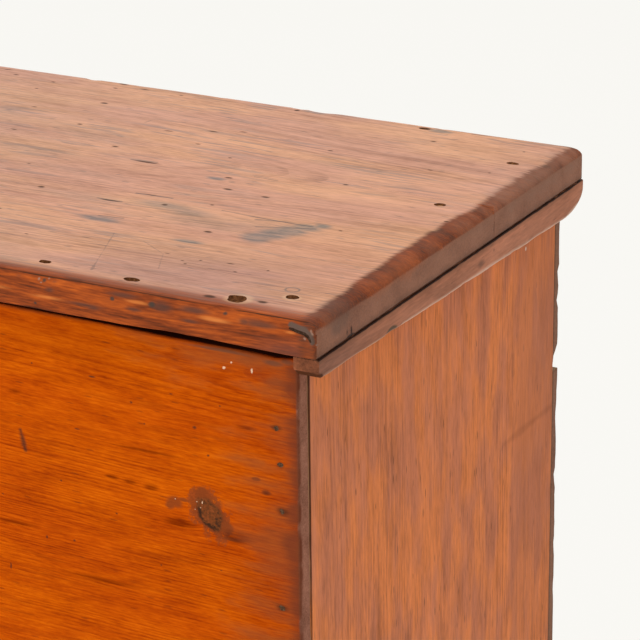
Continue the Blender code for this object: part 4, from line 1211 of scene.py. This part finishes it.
def makeFrontBoard():
    low, high = frontBox
    rounds = {pair("x+", "y-"): 0.0018, pair("x-", "y-"): 0.0018, pair("y-", "z+"): 0.0022}
    piece = gridBoard("front_board_worn", low, high, (0.008, 0.02, 0.008), rounds, 0.0009, 3)
    chips = [(fromCorner(-1, 0, z), r * mm, d * mm) for z, r, d in frontWear["endChips"]]
    chips += [(fromCorner(x, 0, -5.5), r * mm, d * mm) for x, r, d in frontWear["topChips"]]
    wearBoard(piece, low, high, {**frontWear, "chips": chips, "bend": hollowTop})
    slash = [lineFrom((a[0], 0, a[1]), (b[0], 0, b[1]), w) for a, b, w in frontSlash]
    marks = [
        bareSide("front_board", 1, 1),
        mark(onFront("red"), (0.2, 0.042, 0.01), 0.85, 0.6, ragged=1.6, blotch=2.0),
        wash(onFront("streaks"), (0.46, 0.38, 0.5), 0.9, 0.8, ragged=1.8),
        mark(onFront("duskyEnds"), (0.17, 0.042, 0.016), 0.62, 0.95, ragged=0.9, blotch=2.6),
        mark(onFront("duskyTop"), (0.23, 0.058, 0.018), 0.55, 0.95, ragged=1.4, blotch=2.6),
        mark(onFront("handledEnds"), (0.13, 0.03, 0.014), 0.75, 0.85, ragged=1.4, blotch=1.5),
        # painted shade: the board's top face under the lid, nearly black
        mark([patchFrom((-508, 8.2, -7), (900, 8, 7))], (0.012, 0.007, 0.005), 0.95, 0.3, ragged=0.1),
        wash(onFront("dimTop"), (0.78, 0.76, 0.8), 0.55),
        # paint specks and painted highlights on the knot
        mark(onFront("paintAndGlints"), (0.72, 0.5, 0.33), 0.85, ragged=2.4),
        mark(onFront("nailHalos"), (0.06, 0.02, 0.01), 0.75, 0.9, ragged=1.6, blotch=1.5),
        mark(onFront("dots"), (0.06, 0.022, 0.012), 0.8, 0.7, lines=slash, sink=1.0),
        mark(onFront("grey"), (0.1, 0.055, 0.035), 0.6, 0.8, ragged=1.8),
    ]
    knots = [(*patchFrom((x, 0, z), (a, 40, b)), push) for x, z, a, b, push in frontKnots]
    finish = pineFinish("frontPine", low, high, **frontColours, marks=marks, knots=knots)
    finishPiece(piece, "case", [finish], "front_board")


makeFrontBoard()
print("stage: front board done")


# back boards: unfinished, split and chipped along their ends

backBoards = ("back_board_top", "back_board_middle", "back_board_bottom")
backChips = {"back_board_top": [(-82, 5, 1.6), (-102, 5, 1.6), (-158, 15, 4.2)]}  # height, radius and depth
backColours = {
    "grain": "X", "face": "Y", "ringWidth": 0.0048, "level": 0.36, "late": 0.35,
    "palette": [(0.0, (0.43, 0.27, 0.14)), (0.45, (0.31, 0.18, 0.09)), (1.0, (0.12, 0.07, 0.04))],
    "endPalette": [(0.0, (0.32, 0.14, 0.075)), (1.0, (0.16, 0.07, 0.04))],
    "dirt": 0.3, "rough": 0.68, "specular": 0.2, "bump": 0.6,
}
strapNotch = {"play": 0.001, "depth": 0.0028, "through": 0.03, "height": 0.01}


def notchStraps(piece, low, high):
    tools = bmesh.new()
    for side in ("left", "right"):
        strapLow, strapHigh = boxOf("hinge_strap_" + side)
        middle = (strapLow.x + strapHigh.x) / 2
        half = (strapHigh.x - strapLow.x) / 2 + strapNotch["play"]
        for vert in bmesh.ops.create_cube(tools, size=1.0)["verts"]:
            vert.co = Vector((middle + vert.co.x * 2 * half,
                              (low.y + high.y) / 2 + vert.co.y * strapNotch["through"],
                              high.z - strapNotch["depth"] + (vert.co.z + 0.5) * strapNotch["height"]))
    carve(piece, tools)


def makeBackBoard(node, index):
    low, high = boxOf(node)
    seeded = random.Random(node)
    piece = gridBoard(node + "_worn", low, high, (0.012, 0.02, 0.006), {}, 0.0008, 2)
    chips = [(Vector((high.x, high.y, corner.z + z * mm)), r * mm, d * mm) for z, r,
             d in backChips.get(node, [])]
    for side in (low.x, high.x):
        height = low.z + 0.03
        while height < high.z - 0.02 and (side < 0 or node not in backChips):
            chips.append((Vector((side, high.y, height)), seeded.uniform(0.005, 0.012),
                          seeded.uniform(0.0006, 0.0018)))
            height += seeded.uniform(0.05, 0.13)
        chips.append((Vector((side, high.y, low.z)), 0.007, 0.0022))
    wearBoard(piece, low, high, {"seed": (1.2 + index, 6.3, 3.3), "waves": 0.0003, "rub": 0.0007,
                                 "waveRun": (3, 14, 14), "chips": chips})
    if node == "back_board_top":
        notchStraps(piece, low, high)
    finish = pineFinish("backPine" + str(index), low, high, pith=(0.02, 0.02 * index, 0.1), **backColours)
    finishPiece(piece, "case", [finish, holeFinish], node)


for index, node in enumerate(backBoards):
    makeBackBoard(node, index)
print("stage: back boards done")


# boards that keep their CAD shape


def dress(node, finish):
    mesh = nodes[node].data
    mesh.materials.clear()
    mesh.materials.append(finish)


def dressPine(node, cfg, grain, face, pith, marks=(), name=None):
    changes = {**cfg, "grain": grain, "face": face, "pith": pith, "marks": marks}
    dress(node, pineFinish(name or node + "_pine", *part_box(node), **changes))


endMarks = [
    mark([patchFrom((0, 400, -150), (60, 90, 500))], (0.43, 0.15, 0.082), 0.5, 0.95, ragged=2.0),
    wash([], (0.62, 0.6, 0.62), 0.45, lines=[lineFrom((0, 327, -189.5), (0, 417, -190), 5)]),
    score([lineFrom((0, 15.6, -10), (0, 15.6, -372), 1.5), lineFrom((0, 418, -10), (0, 418, -850), 1.2)],
          (0.025, 0.012, 0.008), 0.9, 2.0),
    mark([patchFrom((0, 363, -41.5), (4, 1.2, 1.8))], (0.75, 0.6, 0.5), 0.9),
    mark([patchFrom((0, 82, -133), (4, 0.9, 4)), patchFrom((0, 112, -156), (4, 0.9, 4.5))],
         (0.06, 0.03, 0.02), 0.8, 0.7),
]
endColours = {
    "ringWidth": 0.0036, "wander": 0.03,
    "palette": shades((0.755, 0.232, 0.096), (0.0, 1.25), (0.35, 1.0), (0.65, 0.68), (1.0, 0.32)),
    "hues": [(0.0, (0.77, 0.84, 1.0)), (1.0, (1.0, 1.0, 0.8))],
    "level": 0.33, "late": 0.14, "streak": 0.42, "fibre": 0.95, "tone": 0.7, "fleck": 0.6,
    "streakRun": (2.0, 40.0, 40.0), "fibreRun": (18.0, 520.0, 520.0), "toneRun": (20.0, 64.0, 64.0),
    "hueRun": (14.0, 48.0, 48.0), "dash": 0.2, "dashRun": (26.0, 260.0, 260.0),
    "dashColour": (0.2, 0.08, 0.05),
    "dirtWidth": 0.004, "dirt": 0.0, "rough": 0.5, "specular": 0.02, "bump": 0.35,
}
amber = {
    "palette": amberPalette, "level": 0.36, "late": 0.25, "streak": 0.8, "fibre": 0.9, "tone": 1.0,
    "fleck": 0.4,
    "specular": 0.0, "dirt": 0.35, "dashColour": (0.2, 0.026, 0.003), "dashRun": (20.0, 330.0, 330.0),
    "endPalette": [(0.0, (0.3, 0.13, 0.085)), (1.0, (0.13, 0.05, 0.03))],
}
bare = {
    "palette": [(0.0, (0.56, 0.37, 0.2)), (0.45, (0.44, 0.27, 0.13)), (1.0, (0.2, 0.11, 0.05))],
    "level": 0.34, "late": 0.35, "streak": 1.2, "tone": 1.0, "fleck": 0.3, "dirt": 0.3,
    "endPalette": [(0.0, (0.36, 0.22, 0.11)), (1.0, (0.2, 0.11, 0.055))],
    "dash": 0.3, "dashColour": (0.2, 0.12, 0.06), "rough": 0.66, "specular": 0.2, "bump": 0.5,
}
drawers, sides = ("upper", "lower"), ("left", "right")


def edgeMark(node):  # the front edge beside the drawers took the finish of the front
    low, high = boxOf(node)
    centre = Vector(((low.x + high.x) / 2, low.y, low.z))
    return mark([(centre, Vector((0.06, 0.003, 4.0)))], (0.46, 0.076, 0.002), 0.95, 0.4, ragged=0.2,
                figure=True)


for node, pith, innerSide, name, more in (("right_end", (0.012, 0.03, -0.12), 0, "endPineRight", endMarks),
                                          ("left_end", (-0.01, -0.02, 0.13), 1, "endPineLeft", [])):
    dressPine(node, endColours, "Z", "X", pith, [bareSide(node, 0, innerSide), edgeMark(node), *more], name)
for node, pith in (("front_apron", (0.01, 0.05, 0.09)), ("drawer_rail", (0.01, 0.03, 0.06)),
                   ("upper_drawer_front", (0.03, 0.04, 0.09)),
                   ("lower_drawer_front", (-0.025, -0.05, 0.12))):
    dressPine(node, amber, "X", "Y", pith, [bareSide(node, 1, 1)] if node != "drawer_rail" else [])
for node in ["drawer_sill", "well_floor_front", "well_floor_rear"] + [d + "_drawer_bottom" for d in drawers]:
    dressPine(node, bare, "X", "Z", (0.02, 0.03, -0.1))
for drawer in drawers:
    for side in sides:
        dressPine(drawer + "_runner_" + side, bare, "Y", "Z", (0.01, 0.02, -0.05))
        dressPine(drawer + "_drawer_side_" + side, bare, "Y", "X", (0.02, 0.03, -0.08))
    dressPine(drawer + "_drawer_back", bare, "X", "Y", (0.02, 0.02, 0.09))
for side in sides:
    for part in ("hinge_leaf_", "hinge_pin_", "hinge_strap_"):
        dress(part + side, ironFinish)
print("stage: CAD boards and hinges dressed")


# turned knobs

knobShape = {"radius": 19.0, "projection": 30.0, "neck": 9.5, "base": 12.5, "tenon": 6.9, "tenonEnd": -19.9,
             "steps": 56, "angle": 50}
knobColours = {
    "grain": "Y", "face": "Z", "pith": (0.0, 0.02, -0.03), "ringWidth": 0.0022,
    "palette": [(0.0, (0.4, 0.12, 0.035)), (0.45, (0.26, 0.07, 0.02)), (1.0, (0.09, 0.024, 0.01))],
    "level": 0.34, "late": 0.3, "tone": 0.8,
    "endPalette": [(0.0, (0.3, 0.085, 0.024)), (1.0, (0.12, 0.03, 0.01))],
    "dirt": 0.0, "dash": 0.2, "rough": 0.36, "specular": 0.15, "bump": 0.2,
}
knobFinish = pineFinish("knobWood", (-1, -1, -1), (1, 1, 1), **knobColours)


def knobProfile():  # radius and distance out from the drawer's face
    radius, out, neck, base = (knobShape[k] for k in ("radius", "projection", "neck", "base"))
    tenon, tenonEnd = knobShape["tenon"], knobShape["tenonEnd"]
    rim = out - radius * 0.45
    under, low = rim - 1.6, out * 0.3
    points = [(0.0, out)] + [(radius * math.sin(a), rim + (out - rim) * math.cos(a))
                             for a in angles(9, 91, 9)]
    points += [(radius * 0.985, rim - 1.2)]
    points += [(neck + (radius * 0.97 - neck) * math.cos(a), under - (under - low) * math.sin(a))
               for a in angles(10, 91, 10)]
    points += [(neck + 0.6, low - 1.4), (base - 1.2, low - 2.6), (base - 0.2, low - 3.4), (base, low - 4.6)]
    points += [(base - 0.3, low - 6.0), (base - 0.9, 1.0), (base - 0.9, 0.35)]
    return points + [(tenon, 0.35), (tenon, tenonEnd), (0.0, tenonEnd)]


def makeKnob(node, body):
    low, high = boxOf(node)
    face = low.y + knobShape["projection"] * mm
    middle = Vector(((low.x + high.x) / 2, face, (low.z + high.z) / 2))
    bm = bmesh.new()
    rings = []
    for radius, out in knobProfile():
        turned = circle(knobShape["steps"]) if radius else [(0.0, 0.0)]
        rings.append([bm.verts.new(middle + Vector((radius * mm * cos, -out * mm, radius * mm * sin)))
                      for cos, sin in turned])
    skinRings(bm, rings)
    finishPiece(pieceFrom(bm, node + "_turned", knobShape["angle"]), body, [knobFinish], node)


for drawer in drawers:
    for side in sides:
        makeKnob(drawer + "_knob_" + side, drawer + "_drawer")
print("stage: knobs turned")


# nails: hand-cut heads, some sunk below the face

nailShape = {"sides": 9, "shank": -0.0016, "slim": (0.75, 1.0), "uneven": 0.1 * mm, "ragged": (0.88, 1.1),
             "sizes": (0.85, 1.15)}


def nailHead(bm, spot, normal, size, seeded, proud):
    normal = Vector(normal)
    first = normal.orthogonal().normalized()
    first.rotate(Matrix.Rotation(seeded.uniform(0, 6.28), 3, normal))
    second = normal.cross(first)
    slim = seeded.uniform(*nailShape["slim"])
    rings = []
    for share, rise in ((1.0, nailShape["shank"]), (1.0, proud * 0.2), (0.82, proud * 0.75),
                        (0.4, proud * 1.15)):
        ring = []
        for cos, sin in circle(nailShape["sides"]):
            lift = rise + seeded.uniform(-nailShape["uneven"], nailShape["uneven"])
            reach = size * share * seeded.uniform(*nailShape["ragged"])
            ring.append(bm.verts.new(spot + normal * lift + (first * cos * slim + second * sin) * reach))
        rings.append(ring)
    bm.faces.new(list(reversed(rings[0])))
    bm.faces.new(rings[-1])
    skinRings(bm, rings)


def makeNails(name, body, heads, normal, size, proud):
    seeded = random.Random(name)
    bm = bmesh.new()
    for spot in heads:
        nailHead(bm, Vector(spot), normal, size * mm * seeded.uniform(*nailShape["sizes"]), seeded,
                 proud * mm)
    finishPiece(pieceFrom(bm, name), body, [nailFinish])


heads = [fromCorner(x, 0.35, z) for x, z in frontNails]
heads += [fromCorner(-caseWidth - x, 0.35, z - 3) for x, z in frontNails]
makeNails("front_board_nails", "case", heads, (0, -1, 0), 2.6, 0.25)
low, high = boxOf("front_apron")
heads = [(x, low.y + 0.0002, z) for x in (low.x + 0.012, high.x - 0.012) for z in (0.03, 0.07, 0.105)]
makeNails("apron_nails", "case", heads, (0, -1, 0), 2.6, 0.3)
heads = []
for node in backBoards:
    low, high = boxOf(node)
    heads += [(x, high.y - 0.0001, z) for x in (low.x + 0.011, high.x - 0.011)
              for z in np.linspace(low.z + 0.025, high.z - 0.025, 3)]
makeNails("back_nails", "case", heads, (0, 1, 0), 2.8, 0.4)
leafHeads, strapHeads, plateThickness = [], [], 0.0025
for side in sides:
    low, high = boxOf("hinge_leaf_" + side)
    middle = (low.x + high.x) / 2
    leafHeads += [(middle + dx, low.y + plateThickness, high.z - dz)
                  for dx, dz in ((-0.012, 0.03), (0.012, 0.03), (-0.015, 0.066), (0.015, 0.066))]
    low, high = boxOf("hinge_strap_" + side)
    strapHeads += [(middle + dx, high.y - dy, high.z - plateThickness)
                   for dx, dy in ((-0.007, 0.035), (0.006, 0.075), (-0.004, 0.115), (0.0, 0.176))]
makeNails("hinge_leaf_nails", "case", leafHeads, (0, 1, 0), 3.4, 1.0)
makeNails("hinge_strap_nails", "lid", strapHeads, (0, 0, -1), 3.2, 1.0)
print("stage: nails driven")


# floor, light and camera

studio = {"backdrop": (0.947, 0.936, 0.9, 1.0), "ambient": 0.72, "glow": 1.07, "glowShare": 0.8,
          "floorSize": 30.0}
lamps = {  # place, aim, size and power
    "frontLight": ((-0.6, -3.2, 1.5), (0.2, 0, 0.6), 2.0, 55),
    "topLight": ((0.4, -0.6, 3.4), (0.2, 0, 0.8), 2.0, 30),
}
view = {"place": (892.1, -1619.4, 710.8), "pitch": 20.445, "yaw": 28.374, "roll": -0.648, "lens": 169.66,
        "sensor": 36.0}

floorMesh = bpy.data.meshes.new("floor")
half = studio["floorSize"] / 2
floorMesh.from_pydata([(-half, -half, 0), (half, -half, 0), (half, half, 0), (-half, half, 0)], [],
                      [(0, 1, 2, 3)])
floor = linkMesh("floor", floorMesh)
floor.location.z = -0.0005


def seenDirectly(g):
    light = g.node("LightPath").outputs
    return g.larger(g.larger(light["Is Camera Ray"], light["Is Glossy Ray"]), light["Is Transmission Ray"])


paleFloor, g, shader = newFinish("paleFloor")
speckle = g.cloud(g.vec("SCALE", g.node("TexCoord").outputs["Object"], scale=2.0))["Fac"]
g.feed(shader.inputs["Base Color"], g.ramp(speckle, [(0.3, (0.86, 0.85, 0.83)), (0.7, (0.88, 0.87, 0.85))]))
shader.inputs["Roughness"].default_value = 0.9
shader.inputs["Specular IOR Level"].default_value = 0.1
glow = g.node("Emission")
glow.inputs["Color"].default_value = studio["backdrop"]
glow.inputs["Strength"].default_value = studio["glow"]
blend = g.node("MixShader")
for socket, value in zip(blend.inputs,
                         (g.times(seenDirectly(g), studio["glowShare"]), shader.outputs[0],
                          glow.outputs[0])):
    g.feed(socket, value)
g.feed(g.tree.nodes["Material Output"].inputs["Surface"], blend.outputs[0])
floorMesh.materials.append(paleFloor)

world = bpy.data.worlds.new("studio")
bpy.context.scene.world = world
world.use_nodes = True
g = Graph(world.node_tree)
sky = world.node_tree.nodes["Background"]
sky.inputs["Color"].default_value = studio["backdrop"]
g.feed(sky.inputs["Strength"], g.spread(seenDirectly(g), 0.0, 1.0, studio["ambient"], 1.0))

for name, (place, aim, size, power) in lamps.items():
    lamp = bpy.data.lights.new(name, "AREA")
    lamp.shape = "SQUARE"
    lamp.size = size
    lamp.energy = power
    softBox = linkMesh(name, lamp)
    softBox.location = place
    softBox.rotation_euler = (Vector(aim) - Vector(place)).to_track_quat("-Z", "Y").to_euler()
    softBox.visible_camera = False
    softBox.visible_glossy = False

pitch, yaw, roll = (math.radians(view[k]) for k in ("pitch", "yaw", "roll"))
ahead = Vector((-math.sin(yaw) * math.cos(pitch), math.cos(yaw) * math.cos(pitch), -math.sin(pitch)))
level = Vector((math.cos(yaw), math.sin(yaw), 0))
right = level * math.cos(roll) + level.cross(ahead) * math.sin(roll)
lens = bpy.data.cameras.new("photoCamera")
lens.lens = view["lens"]
lens.sensor_width = view["sensor"]
lens.sensor_fit = "HORIZONTAL"
lens.clip_end = studio["floorSize"] * 2
camera = linkMesh("photoCamera", lens)
turn = Matrix((right, right.cross(ahead), -ahead)).transposed()
camera.matrix_world = Matrix.Translation(fromCorner(*view["place"])) @ turn.to_4x4()
bpy.context.scene.camera = camera
bpy.context.scene.view_settings.view_transform = "Standard"
print("stage: studio ready")
